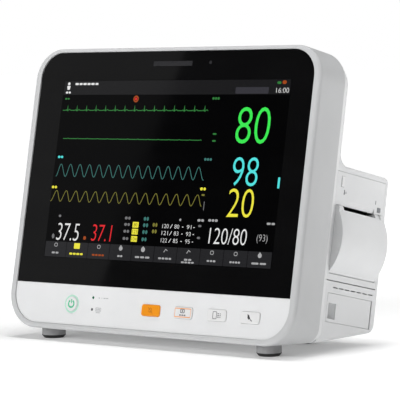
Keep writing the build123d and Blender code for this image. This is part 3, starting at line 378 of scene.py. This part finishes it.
# painted light: the floor glows weakly near the object and strongly away from it, so it is darker near
# the object and white far off
floor_place = floor_nodes.new("ShaderNodeTexCoord")
floor_reach = floor_nodes.new("ShaderNodeVectorMath")
floor_reach.operation = "LENGTH"
floor_painted_light = floor_nodes.new("ShaderNodeMapRange")
floor_painted_light.inputs["From Min"].default_value = 0.25
floor_painted_light.inputs["From Max"].default_value = 2.0
floor_painted_light.inputs["To Min"].default_value = 0.14
floor_painted_light.inputs["To Max"].default_value = 0.96
floor_links.new(floor_place.outputs["Object"], floor_reach.inputs[0])
floor_links.new(floor_reach.outputs["Value"], floor_painted_light.inputs["Value"])
floor_links.new(floor_painted_light.outputs["Result"], floor_shader.inputs["Emission Strength"])
floor_mesh.materials.append(floor_material)
bpy.context.scene.collection.objects.link(floor)

MIX_A, MIX_B, MIX_RESULT = 6, 7, 2       # the colour sockets of a Mix node
world = bpy.data.worlds.new("studio")
world.use_nodes = True
world_nodes = world.node_tree.nodes
backdrop = world_nodes["Background"]
backdrop.inputs["Strength"].default_value = 1.0
rays = world_nodes.new("ShaderNodeLightPath")
seen = world_nodes.new("ShaderNodeMix")
seen.data_type = "RGBA"
seen.inputs[MIX_A].default_value = (0.08, 0.08, 0.08, 1)
seen.inputs[MIX_B].default_value = (1, 1, 1, 1)
world.node_tree.links.new(rays.outputs["Is Camera Ray"], seen.inputs[0])
world.node_tree.links.new(seen.outputs[MIX_RESULT], backdrop.inputs["Color"])
bpy.context.scene.world = world


def soft_light(name, place, target, size, power):
    """A square soft box that faces the target."""
    data = bpy.data.lights.new(name, "AREA")
    data.size = size
    data.energy = power
    light = bpy.data.objects.new(name, data)
    facing = (Vector(target) - Vector(place)).to_track_quat("-Z", "Y")
    light.matrix_world = Matrix.Translation(place) @ facing.to_matrix().to_4x4()
    light.visible_camera = False
    light.visible_glossy = False
    bpy.context.scene.collection.objects.link(light)


MIDDLE_OF_CASE = (0, 0, 0.13)
soft_light("key", (-0.9, -2.8, 1.1), MIDDLE_OF_CASE, 1.2, 52)
soft_light("top", (0.05, 0.2, 2.2), MIDDLE_OF_CASE, 1.0, 34)
soft_light("right", (1.1, 0.1, 1.6), MIDDLE_OF_CASE, 1.0, 3.4)
soft_light("rear_right", (0.34, 0.22, 0.17), (0.16, 0.03, 0.10), 0.3, 0.33)


def mirrored(x, u, distance):
    """Where a ray from the camera ends that is reflected at this point of the glass."""
    point = FRONT @ Vector((x, u, 0))
    ray = (point - camera.matrix_world.translation).normalized()
    ray = ray - 2 * ray.dot(BACK) * BACK
    return point + ray * distance


def reflector(name, corners, colour, strength):
    """A studio card that only shows in reflections."""
    mesh = bpy.data.meshes.new(name)
    mesh.from_pydata([tuple(c) for c in corners], [], [(0, 1, 2, 3)])
    card = bpy.data.objects.new(name, mesh)
    material, tree_nodes, links, shader = new_material(name)
    shader.inputs["Base Color"].default_value = (0, 0, 0, 1)
    shader.inputs["Specular IOR Level"].default_value = 0.0
    shader.inputs["Emission Color"].default_value = (*colour, 1)
    shader.inputs["Emission Strength"].default_value = strength
    mesh.materials.append(material)
    card.visible_camera = False
    card.visible_diffuse = False
    card.visible_shadow = False
    card.visible_transmission = False
    bpy.context.scene.collection.objects.link(card)


CARD_DISTANCE, FLAG_DISTANCE = 1.5, 1.7  # metres from the glass, along the mirrored rays

# the edge of the light card shows in the glass as a slanting line, bright to its left
edge_top = mirrored(17.0, 125.0, CARD_DISTANCE)
edge_bottom = mirrored(-60.0, -125.0, CARD_DISTANCE)
far_top = mirrored(-230.0, 125.0, CARD_DISTANCE)
far_bottom = mirrored(-230.0, -125.0, CARD_DISTANCE)
reflector("light_card", (edge_top, edge_bottom, far_bottom, far_top), (1, 1, 1), 0.42)
flag_corners = ((400, 320), (400, -320), (-400, -320), (-400, 320))
flag = [mirrored(x, u, FLAG_DISTANCE) for x, u in flag_corners]
reflector("dark_flag", flag, (1, 1, 1), 0.08)

# ------------------------------------------------------------------ display picture
PIXEL_TOP = 0.06            # the lit picture's top surface, above the glass
DARK_TOP = 0.03             # dark bars lie lower than what is drawn on them
INK = -0.05                 # printed and lit marks reach just below the surface

picture = {
    "green": lit("picture_green", (0.05, 0.95, 0.10), (0.04, 0.80, 0.08), 0.9),
    "trace_green": lit("picture_trace_green", (0.05, 0.34, 0.07), (0.03, 0.24, 0.05), 0.6),
    "cyan": lit("picture_cyan", (0.10, 0.88, 0.86), (0.08, 0.74, 0.72), 0.9),
    "teal": lit("picture_teal", (0.10, 0.38, 0.34), (0.07, 0.30, 0.27), 0.5),
    "yellow": lit("picture_yellow", (0.98, 0.90, 0.06), (0.85, 0.78, 0.05), 0.9),
    "olive": lit("picture_olive", (0.42, 0.39, 0.07), (0.32, 0.30, 0.05), 0.5),
    "white": lit("picture_white", (0.90, 0.90, 0.90), (0.78, 0.78, 0.78), 0.9),
    "grey": lit("picture_grey", (0.30, 0.30, 0.31), (0.22, 0.22, 0.23), 0.6),
    "red": lit("picture_red", (0.90, 0.02, 0.03), (0.75, 0.015, 0.02), 0.9),
    "pale": lit("picture_pale", (0.58, 0.58, 0.59), (0.46, 0.46, 0.47), 0.7),
    "ember": lit("picture_ember", (0.52, 0.09, 0.01), (0.40, 0.07, 0.01), 0.7),
    "bar": lit("picture_bar", (0.030, 0.030, 0.034), (0.024, 0.024, 0.028), 0.5),
    "top": lit("picture_top", (0.014, 0.014, 0.016), (0.010, 0.010, 0.012), 0.5),
    "tint": lit("picture_tint", (0.070, 0.068, 0.085), (0.060, 0.058, 0.074), 0.5),
}
screen_black = glossy_black("screen_black", (0.0010, 0.0010, 0.0012), (0.0006, 0.0006, 0.0008),
                            (0.05, 0.10), 0.12)


def beats(start, pitch, count, base, shape):
    """A trace that repeats one beat, whose points are (part of the pitch, rise)."""
    return [(start + pitch * (beat + part), base + rise)
            for beat in range(count) for part, rise in shape]


WAVE_STEPS = 12              # points in one breath or pulse


def smooth_wave(start, pitch, count, low, high, rise_share):
    """A rounded saw wave: a quick rise, then a slower fall."""
    points = []
    for step in range(count * WAVE_STEPS + 1):
        phase = step / WAVE_STEPS % 1.0
        if phase < rise_share:
            level = 0.5 - 0.5 * cos(pi * phase / rise_share)
        else:
            level = 0.5 + 0.5 * cos(pi * (phase - rise_share) / (1 - rise_share))
        points.append((start + pitch * step / WAVE_STEPS, low + (high - low) * level))
    return points


ecg_beat = ((0.0, 0.0), (0.30, 0.0), (0.36, 0.6), (0.42, 0.0), (0.47, -0.6), (0.50, 4.6), (0.54, -0.9),
            (0.58, 0.0), (0.72, 0.9), (0.84, 0.0))
ecg_green_trace = beats(-126.0, 11.55, 15, 53.6, ecg_beat)
flat_trace = beats(-121.5, 12.0, 14, 27.0, ((0.0, 0.0), (0.4, 0.0), (0.5, 0.35), (0.6, 0.0)))
pleth_trace = smooth_wave(-124.9, 11.58, 15, -8.7, 3.0, 0.42)
breath_trace = smooth_wave(-128.0, 11.85, 15, -32.0, -21.8, 0.55)


def words(bm, x, y, width, height, count):
    """Short dashes that stand for a line of small print."""
    cell = width / count
    for i in range(count):
        length = cell * (0.78 if i % 2 else 0.88)
        dash_x = x - width / 2 + cell * (i + 0.5)
        prism(bm, rounded(dash_x, y, length, height, height * 0.45, 3), INK, PIXEL_TOP)


BAR_LEFT, BAR_RIGHT = -127.6, 132.3
MENU_BOTTOM, MENU_TOP = -83.6, -69.4
MENU_COUNT = 10
MENU_PITCH = (BAR_RIGHT - BAR_LEFT) / MENU_COUNT


def ground(bm):
    prism(bm, rounded(2.35, -1.1, 261.1, 166.0, 0.4, 2), INK, DARK_TOP / 2)


def top_bar(bm):
    centre, width = (BAR_LEFT + BAR_RIGHT) / 2, BAR_RIGHT - BAR_LEFT
    prism(bm, rounded(centre, 74.85, width, 13.1, 0.3, 2), INK, DARK_TOP)


def dark_bars(bm):
    for i in range(MENU_COUNT):
        x = BAR_LEFT + MENU_PITCH * (i + 0.5)
        bar = rounded(x, (MENU_BOTTOM + MENU_TOP) / 2, MENU_PITCH - 0.5, 14.2, 0.5, 2)
        prism(bm, bar, INK, DARK_TOP)


def tinted_bars(bm):
    prism(bm, rounded(91.4, 71.8, 36.0, 5.8, 0.8, 3), DARK_TOP, DARK_TOP + 0.02)


def green_picture(bm):
    number(bm, "80", 78.2, 24.6, 32.4, 36.4, INK, PIXEL_TOP, slant=0.04)


def green_lines(bm):
    stroke(bm, ecg_green_trace, 0.75, INK, PIXEL_TOP)
    stroke(bm, flat_trace, 0.7, INK, PIXEL_TOP)
    words(bm, 52.7, 64.7, 8.5, 2.4, 3)
    words(bm, -122.0, 64.5, 6.0, 1.6, 2)
    words(bm, 120.0, 78.5, 5.0, 2.2, 1)
    for u in (32.8, 26.6):
        words(bm, 55.6, u, 4.6, 1.5, 1)


def cyan_picture(bm):
    number(bm, "98", 79.4, -12.8, 25.4, 28.0, INK, PIXEL_TOP, slant=0.03)
    prism(bm, rounded(131.0, -9.2, 2.2, 9.6, 0.5, 3), INK, PIXEL_TOP)
    words(bm, -121.8, 9.6, 7.0, 2.2, 2)


def teal_lines(bm):
    stroke(bm, pleth_trace, 0.65, INK, PIXEL_TOP)
    words(bm, 51.4, 10.0, 9.0, 2.4, 3)


def yellow_picture(bm):
    number(bm, "20", 78.3, -40.4, 25.2, 28.0, INK, PIXEL_TOP, slant=0.03)
    words(bm, 49.6, -16.4, 7.0, 2.6, 2)
    words(bm, -125.0, -18.8, 7.0, 2.4, 2)
    prism(bm, rounded(-89.0, -72.7, 7.0, 5.2, 0.6, 3), INK, PIXEL_TOP)
    words(bm, -89.0, -80.0, 17.0, 1.8, 4)
    prism(bm, rounded(-89.0, -72.7, 2.0, 3.0, 0.3, 2), PIXEL_TOP, PIXEL_TOP + 0.01)


def olive_lines(bm):
    stroke(bm, breath_trace, 0.65, INK, PIXEL_TOP)
    for u in (-50.1, -56.0):
        words(bm, 0.0, u, 6.0, 3.6, 2)
    words(bm, 50.4, -21.8, 4.0, 1.6, 1)


def red_picture(bm):
    number(bm, "37.1", -73.2, -67.2, 15.2, 23.0, INK, PIXEL_TOP, slant=0.06)
    prism(bm, circle(-39.0, 64.3, 1.2, 16), INK, PIXEL_TOP)


def ember_picture(bm):
    stroke(bm, circle(-39.0, 64.3, 2.4, 20), 1.5, INK, DARK_TOP, closed=True)
    prism(bm, rounded(-81.0, -65.0, 3.2, 3.2, 1.2, 4), INK, PIXEL_TOP)
    words(bm, 125.6, 78.9, 5.0, 3.2, 1)
    words(bm, BAR_LEFT + MENU_PITCH * 2.5, -80.0, 15.0, 1.7, 4)


TABLE_ROWS = (-45.0, -50.8, -57.0, -63.6)


def white_picture(bm):
    number(bm, "37.5", -115.6, -68.0, 16.0, 26.6, INK, PIXEL_TOP, slant=0.06)
    number(bm, "120/80", 62.0, -64.6, 14.2, 41.0, INK, PIXEL_TOP, slant=0.03)
    number(bm, "16:00", 117.6, 69.6, 4.4, 13.6, INK, PIXEL_TOP)
    readings = (("120", "80", "91"), ("121", "83", "93"), ("122", "85", "95"))
    for row, (first, second, third) in enumerate(readings):
        u = TABLE_ROWS[row + 1] - 1.8
        number(bm, first, 8.6, u, 3.6, 7.0, INK, PIXEL_TOP)
        stroke(bm, ((17.6, u), (19.8, u + 3.6)), 0.55, INK, PIXEL_TOP)
        number(bm, second, 22.4, u, 3.6, 5.2, INK, PIXEL_TOP)
        prism(bm, rounded(31.6, u + 1.6, 1.6, 0.6, 0.2, 2), INK, PIXEL_TOP)
        number(bm, third, 36.2, u, 3.6, 5.2, INK, PIXEL_TOP)
        prism(bm, rounded(44.4, u + 1.6, 1.4, 0.6, 0.2, 2), INK, PIXEL_TOP)
    prism(bm, circle(-121.9, 78.6, 1.5, 16), INK, PIXEL_TOP)
    prism(bm, ((-124.0, 76.6), (-119.8, 76.6), (-120.6, 73.0), (-123.2, 73.0)), INK, PIXEL_TOP)
    words(bm, -100.0, 78.4, 29.0, 2.0, 6)
    words(bm, -121.7, 70.4, 6.6, 1.9, 2)


MENU_LABELS = (9.0, 0.0, 0.0, 6.5, 17.5, 15.5, 9.0, 10.0, 12.0, 17.0)


def pale_picture(bm):
    number(bm, "(93)", 114.0, -62.4, 8.0, 11.6, INK, PIXEL_TOP)
    for i, length in enumerate(MENU_LABELS):
        x = BAR_LEFT + MENU_PITCH * (i + 0.5)
        if length:
            words(bm, x, -79.8, length, 1.7, 2 + i % 3)
        if i in (0, 2, 7, 8):
            stroke(bm, rounded(x, -72.4, 3.4, 3.0, 1.2, 3), 0.6, INK, PIXEL_TOP, closed=True)
        elif i in (3, 4, 9):
            prism(bm, circle(x, -72.8, 2.3 - 0.2 * (i % 2), 18), INK, PIXEL_TOP)
            prism(bm, rounded(x, -70.6, 1.6, 1.0, 0.3, 2), INK, PIXEL_TOP)
        elif i in (5, 6):
            stroke(bm, ((x - 2.0, -74.2), (x, -71.4), (x + 2.0, -72.8)), 0.8, INK, PIXEL_TOP)
    words(bm, BAR_LEFT + MENU_PITCH * 6.5, -82.2, 15.0, 1.5, 4)
    prism(bm, circle(28.0, -44.6, 1.1, 14), INK, PIXEL_TOP)
    words(bm, 51.0, -44.4, 8.0, 2.2, 2)
    words(bm, 64.5, -44.0, 11.0, 2.2, 3)
    words(bm, 127.5, -44.9, 9.5, 1.9, 2)


def grey_picture(bm):
    for row in TABLE_ROWS:
        words(bm, -32.4, row, 7.2, 2.6, 2)
    for u in (-49.4, -60.0):
        words(bm, 50.6, u, 4.0, 2.0, 1)
    prism(bm, rounded(52.6, -31.5, 0.7, 8.0, 0.3, 2), INK, PIXEL_TOP)
    words(bm, -114.0, -45.5, 3.4, 2.2, 1)
    words(bm, -119.5, -64.5, 3.6, 4.6, 1)


def table_yellow(bm):
    for row in TABLE_ROWS[1:]:
        prism(bm, rounded(-22.5, row, 7.0, 5.2, 0.5, 2), INK, DARK_TOP)


def table_digits(bm):
    for row, text in zip(TABLE_ROWS[1:], ("80", "123", "104")):
        width = 1.9 * len(text)
        number(bm, text, -22.5 - width / 2, row - 1.5, 3.0, width, DARK_TOP, DARK_TOP + 0.02)


def table_teal(bm):
    for row in TABLE_ROWS:
        words(bm, -10.8, row, 6.4, 3.6, 2)


for name, build in (("green", green_picture), ("trace_green", green_lines), ("cyan", cyan_picture),
                    ("teal", teal_lines), ("yellow", yellow_picture), ("olive", olive_lines),
                    ("white", white_picture), ("grey", grey_picture), ("red", red_picture),
                    ("pale", pale_picture), ("ember", ember_picture), ("bar", dark_bars),
                    ("top", top_bar), ("tint", tinted_bars)):
    piece("picture_" + name, "monitor", FRONT, picture[name], build)
piece("picture_ground", "monitor", FRONT, screen_black, ground)
piece("picture_table_digits", "monitor", FRONT, screen_black, table_digits)
piece("picture_table_yellow", "monitor", FRONT, picture["yellow"], table_yellow)
piece("picture_table_teal", "monitor", FRONT, picture["teal"], table_teal)


# ------------------------------------------------------------------ printed marks and lenses
def reach(node, base):
    """Lowest and highest corner of a CAD node, in a working plane."""
    into = base.inverted()
    points = [into @ vert.co for vert in nodes[node].data.vertices]
    return (Vector([min(p[i] for p in points) for i in range(3)]),
            Vector([max(p[i] for p in points) for i in range(3)]))


def middle(node, base):
    low, high = reach(node, base)
    return (low.x + high.x) / 2, (low.y + high.y) / 2, high.z


def arc(x, y, radius, start, end, steps):
    """Points along an arc; the angles are degrees, anticlockwise from the right."""
    turns = [radians(start + (end - start) * i / steps) for i in range(steps + 1)]
    return [(x + radius * cos(turn), y + radius * sin(turn)) for turn in turns]


PRINT = 0.05                 # printed marks stand this far out of the surface
KEY_INK = -0.15              # symbols on the keys reach this deep
RING_INK = -0.2              # and those on the power button and its ring this deep
grey_ink = moulded("ink_grey", (0.12, 0.12, 0.13), (0.10, 0.10, 0.11), (0.45, 0.6), 2500, 0.05)
dark_ink = moulded("ink_dark", (0.035, 0.035, 0.038), (0.028, 0.028, 0.03), (0.45, 0.6), 2500, 0.05)
pale_ink = moulded("ink_pale", (0.42, 0.43, 0.44), (0.37, 0.38, 0.39), (0.45, 0.6), 2500, 0.05)
orange_ink = moulded("ink_orange", (0.86, 0.36, 0.12), (0.80, 0.32, 0.10), (0.4, 0.5), 2500, 0.05)
brown_ink = moulded("ink_brown", (0.50, 0.16, 0.01), (0.44, 0.14, 0.01), (0.4, 0.5), 2500, 0.05)
green_glow = lit("power_glow", (0.16, 0.72, 0.42), (0.13, 0.64, 0.36), 0.75)
halo_glow = lit("power_halo", (0.60, 0.92, 0.76), (0.55, 0.86, 0.72), 0.85)
green_lamp = lit("lamp_green", (0.05, 0.30, 0.16), (0.04, 0.24, 0.13), 0.5)

power_x, power_u, power_top = middle("power_button", FRONT)
ring_x, ring_u, ring_top = middle("power_ring", FRONT)


def power_symbol(bm):
    low, high = power_top + RING_INK, power_top + PRINT
    stroke(bm, arc(power_x, power_u, 3.2, 118, 422, 32), 1.5, low, high)
    stroke(bm, ((power_x, power_u + 0.4), (power_x, power_u + 4.4)), 1.2, low, high)


def power_halo(bm):
    low, high = ring_top + RING_INK, ring_top + PRINT
    stroke(bm, arc(ring_x, ring_u, 7.65, 0, 351, 39), 1.5, low, high, closed=True)


piece("power_symbol", "power_button", FRONT, green_glow, power_symbol)
piece("power_halo", "monitor", FRONT, halo_glow, power_halo)

lens_low, lens_high = reach("led_lenses", FRONT)
lens_x = (lens_low.x + lens_high.x) / 2
lens_radius = 1.2
lens_rise = 0.4
lens_upper = lens_high.y - 2.0
lens_lower = lens_low.y + 2.0


def dome(bm, x, y, base, radius, rise, steps=20, rings=5):
    """A low round cap."""
    loops = []
    for ring in range(rings):
        turn = pi / 2 * ring / rings
        loops.append([bm.verts.new((px, py, base + rise * sin(turn)))
                      for px, py in circle(x, y, radius * cos(turn), steps)])
    crown = bm.verts.new((x, y, base + rise))
    bm.faces.new(list(reversed(loops[0])))
    for a, b in zip(loops, loops[1:]):
        for i in range(steps):
            j = (i + 1) % steps
            bm.faces.new((a[i], a[j], b[j], b[i]))
    for i in range(steps):
        bm.faces.new((loops[-1][i], loops[-1][(i + 1) % steps], crown))


piece("lamp_cap_green", "monitor", FRONT, green_lamp,
      lambda bm: dome(bm, lens_x, lens_upper, INK, lens_radius, lens_rise))
piece("lamp_cap_grey", "monitor", FRONT, grey_ink,
      lambda bm: dome(bm, lens_x, lens_lower, INK, lens_radius, lens_rise))


def lamp_labels(bm):
    for i, length in enumerate((1.6, 0.9, 2.6, 2.6)):
        prism(bm, rounded(lens_x + 7.2 + i * 3.1, lens_upper, length, 0.8, 0.3, 3), INK, PRINT)
    stroke(bm, rounded(lens_x + 7.4, lens_lower + 0.2, 6.2, 3.0, 0.5, 3), 0.45, INK, PRINT, closed=True)
    for offset in (-1.6, 0.0, 1.6):
        prism(bm, rounded(lens_x + 7.4 + offset, lens_lower + 0.2, 0.9, 1.7, 0.2, 2), INK, PRINT)
    prism(bm, rounded(lens_x + 7.4, lens_lower - 2.6, 5.0, 0.6, 0.2, 2), INK, PRINT)


piece("lamp_labels", "monitor", FRONT, pale_ink, lamp_labels)


def bell(bm, x, y, low, high):
    outline = arc(x, y + 0.2, 1.5, 0, 180, 14) + [(x - 1.9, y - 1.5), (x + 1.9, y - 1.5)]
    stroke(bm, outline, 0.45, low, high, closed=True)
    prism(bm, circle(x, y - 2.2, 0.45, 12), low, high)


def silence_icon(bm):
    x, u, top = middle("silence_key", FRONT)
    bell(bm, x, u + 0.4, top + KEY_INK, top + PRINT)
    stroke(bm, ((x - 2.6, u + 2.6), (x + 2.6, u - 2.4)), 0.45, top + KEY_INK, top + PRINT)


def pause_icon(bm):
    x, u, top = middle("pause_key", FRONT)
    screen = rounded(x - 0.4, u + 1.6, 4.4, 3.0, 0.7, 3)
    stroke(bm, screen, 0.65, top + KEY_INK, top + PRINT, closed=True)
    prism(bm, circle(x - 0.4, u + 1.6, 0.8, 12), top + KEY_INK, top + PRINT)
    for i in range(3):
        prism(bm, rounded(x - 2.6 + i * 2.5, u - 2.1, 1.8, 1.1, 0.3, 3), top + KEY_INK, top + PRINT)


def pause_border(bm):
    x, u, top = middle("pause_key", FRONT)
    for side in (-1, 1):
        prism(bm, rounded(x, u + side * 3.75, 17.6, 0.8, 0.35, 3), top + KEY_INK, top + PRINT)
        prism(bm, rounded(x + side * 8.75, u, 0.45, 7.0, 0.2, 3), top + KEY_INK, top + PRINT)


def freeze_icon(bm):
    x, u, top = middle("freeze_key", FRONT)
    stroke(bm, rounded(x - 1.8, u, 4.0, 6.2, 0.5, 3), 0.55, top + KEY_INK, top + PRINT, closed=True)
    for rise in (-1.5, 0.0, 1.5):
        prism(bm, rounded(x + 2.0, u + rise, 1.6, 0.8, 0.25, 3), top + KEY_INK, top + PRINT)
        prism(bm, rounded(x + 4.2, u + rise, 1.0, 0.8, 0.25, 3), top + KEY_INK, top + PRINT)


def record_icon(bm):
    x, u, top = middle("record_key", FRONT)
    offsets = ((-2.6, 3.0), (-0.9, 2.2), (0.7, -0.8), (-0.6, -1.8), (-2.2, -0.6))
    prism(bm, [(x + across, u + up) for across, up in offsets], top + KEY_INK, top + PRINT)
    stroke(bm, ((x + 0.6, u - 1.4), (x + 2.6, u - 2.9)), 0.7, top + KEY_INK, top + PRINT)


piece("silence_icon", "silence_key", FRONT, brown_ink, silence_icon)
piece("pause_icon", "pause_key", FRONT, grey_ink, pause_icon)
piece("pause_border", "pause_key", FRONT, orange_ink, pause_border)
piece("freeze_icon", "freeze_key", FRONT, grey_ink, freeze_icon)
piece("record_icon", "record_key", FRONT, dark_ink, record_icon)

# marks beside the printer: paper feed, and the door release
fascia_face = reach("printer_fascia", PRINTER_SIDE)[1].z
feed_d, feed_u, feed_face = middle("feed_button", PRINTER_SIDE)
release_d, release_u, _ = middle("door_release", PRINTER_SIDE)


def printer_marks(bm):
    low, high = fascia_face + INK, fascia_face + PRINT
    prism(bm, rounded(feed_d + 3.9, feed_u - 9.0, 1.2, 4.4, 0.4, 3), low, high)
    prism(bm, rounded(feed_d + 6.4, feed_u - 9.0, 0.8, 2.0, 0.3, 3), low, high)
    prism(bm, rounded(release_d - 6.0, release_u + 6.0, 0.9, 3.6, 0.3, 3), low, high)


def feed_mark(bm):
    prism(bm, rounded(feed_d - 1.35, feed_u, 0.7, 6.4, 0.3, 3), feed_face + INK, feed_face + PRINT)


piece("printer_marks", "monitor", PRINTER_SIDE, grey_ink, printer_marks)
piece("feed_mark", "feed_button", PRINTER_SIDE, pale_ink, feed_mark)


# ------------------------------------------------------------------ feet
def ring_profile(bm, x, y, profile, steps=40):
    """A closed profile of (radius, height), turned about an upright axis."""
    loops = [[bm.verts.new((px, py, height)) for px, py in circle(x, y, radius, steps)]
             for radius, height in profile]
    for i, ring in enumerate(loops):
        other = loops[(i + 1) % len(loops)]
        for j in range(steps):
            k = (j + 1) % steps
            bm.faces.new((ring[j], ring[k], other[k], other[j]))


GROUND = Matrix.Scale(MM, 4)
FEET = ((-124.0, -57.86), (124.0, -57.86), (-101.0, 31.34), (101.0, 31.34))
# painted shade: a near-black band over each foot's outer sole and bottom chamfer, standing in for the
# shade under the feet
CHAMFER_SHADE_BAND = ((4.3, 0.0), (8.95, 0.0), (11.12, 2.4), (11.12, 2.9), (10.6, 2.9), (4.3, 0.4))


def chamfer_shade_bands(bm):
    for x, y in FEET:
        ring_profile(bm, x, y, CHAMFER_SHADE_BAND)


# the near-black bands on the feet are painted shade
piece("foot_chamfer_painted_shade", "monitor", GROUND, black_rubber, chamfer_shade_bands)

# ------------------------------------------------------------------ sockets and rear connections
PIN_RADIUS = 0.5
pin_gold = metal("pin_gold", (0.83, 0.62, 0.25), (0.75, 0.55, 0.20), (0.18, 0.30), scale=400)


def post(bm, x, y, radius, low, high, steps=14):
    """A pin with a rounded tip."""
    prism(bm, circle(x, y, radius, steps), low, high)
    dome(bm, x, y, high, radius, radius, steps, 3)


def socket_pins(bm):
    for node, rings in (("ecg_socket", ((4.6, 8), (2.0, 4))), ("spo2_socket", ((3.8, 7), (1.5, 3)))):
        low, high = reach(node, SOCKET_SIDE)
        x, y = (low.x + high.x) / 2, (low.y + high.y) / 2
        for ring_radius, count in rings:
            for px, py in circle(x, y, ring_radius, count):
                post(bm, px, py, PIN_RADIUS, high.z - 9.2, high.z - 3.5)


JACK_CONTACTS = (104.0, 104.5)           # depths behind the front of the glass
BLADE_SLEEVES = (101.2, 112.7)


def contact_strips(bm):
    low, high = reach("ethernet_jack", REAR)
    x = (low.x + high.x) / 2
    for i in range(8):
        prism(bm, rounded(x - 3.57 + i * 1.02, high.y - 7.6, 0.45, 5.2, 0.15, 2), *JACK_CONTACTS)
    low, high = reach("usb_ports", REAR)
    x, y = (low.x + high.x) / 2, (low.y + high.y) / 2
    for port in (-4.0, 4.0):
        for i in range(4):
            contact = rounded(x - 3.75 + i * 2.5, y + port + 0.9, 1.0, 0.3, 0.1, 2)
            prism(bm, contact, high.z - 9.0, high.z - 1.0)


piece("socket_pins", "monitor", SOCKET_SIDE, pin_gold, socket_pins)

# coloured rings round the ECG and SpO2 sockets
panel_face = reach("connector_panel", SOCKET_SIDE)[1].z


def socket_mark(node, width):
    def build(bm):
        low, high = reach(node, SOCKET_SIDE)
        x, y = (low.x + high.x) / 2, (low.y + high.y) / 2
        radius = min(high.x - low.x, high.y - low.y) / 2 + width / 2 + 0.3
        ring = arc(x, y, radius, 0, 352.5, 47)
        stroke(bm, ring, width, panel_face + INK, panel_face + PRINT, closed=True)
    return build


piece("ecg_mark", "monitor", SOCKET_SIDE, ecg_green, socket_mark("ecg_socket", 1.2))
piece("spo2_mark", "monitor", SOCKET_SIDE, spo2_blue, socket_mark("spo2_socket", 1.2))


def socket_icons(bm):
    low, high = panel_face + INK, panel_face + PRINT
    ecg_low, ecg_high = reach("ecg_socket", SOCKET_SIDE)
    x, y = (ecg_low.x + ecg_high.x) / 2 - 19.0, (ecg_low.y + ecg_high.y) / 2
    spo2_low, spo2_high = reach("spo2_socket", SOCKET_SIDE)
    v = (spo2_low.y + spo2_high.y) / 2
    pulse = [(x + dx, v + du) for dx, du in ((-4, 0), (-2, 0), (-1, 3), (0.4, -3), (1.4, 0), (4, 0))]
    stroke(bm, pulse, 0.6, low, high)
    temp_low, temp_high = reach("temp_sockets", SOCKET_SIDE)
    t = (temp_low.y + temp_high.y) / 2
    stroke(bm, rounded(x, t + 1.5, 1.8, 8.0, 0.89, 4), 0.45, low, high, closed=True)
    prism(bm, circle(x, t - 3.0, 1.7, 20), low, high)


piece("socket_icons", "monitor", SOCKET_SIDE, grey_ink, socket_icons)
piece("contact_strips", "monitor", REAR, pin_gold, contact_strips)


# bare metal sleeves on the mains inlet's three blades
def blade_sleeves(bm):
    low, high = reach("ac_inlet", REAR)
    x, y = (low.x + high.x) / 2, (low.y + high.y) / 2
    for across, up in ((7.0, -2.0), (0.0, 2.0), (-7.0, -2.0)):
        prism(bm, rounded(x + across, y + up, 2.2, 4.2, 0.4, 3), *BLADE_SLEEVES)


piece("blade_sleeves", "monitor", REAR, steel, blade_sleeves)
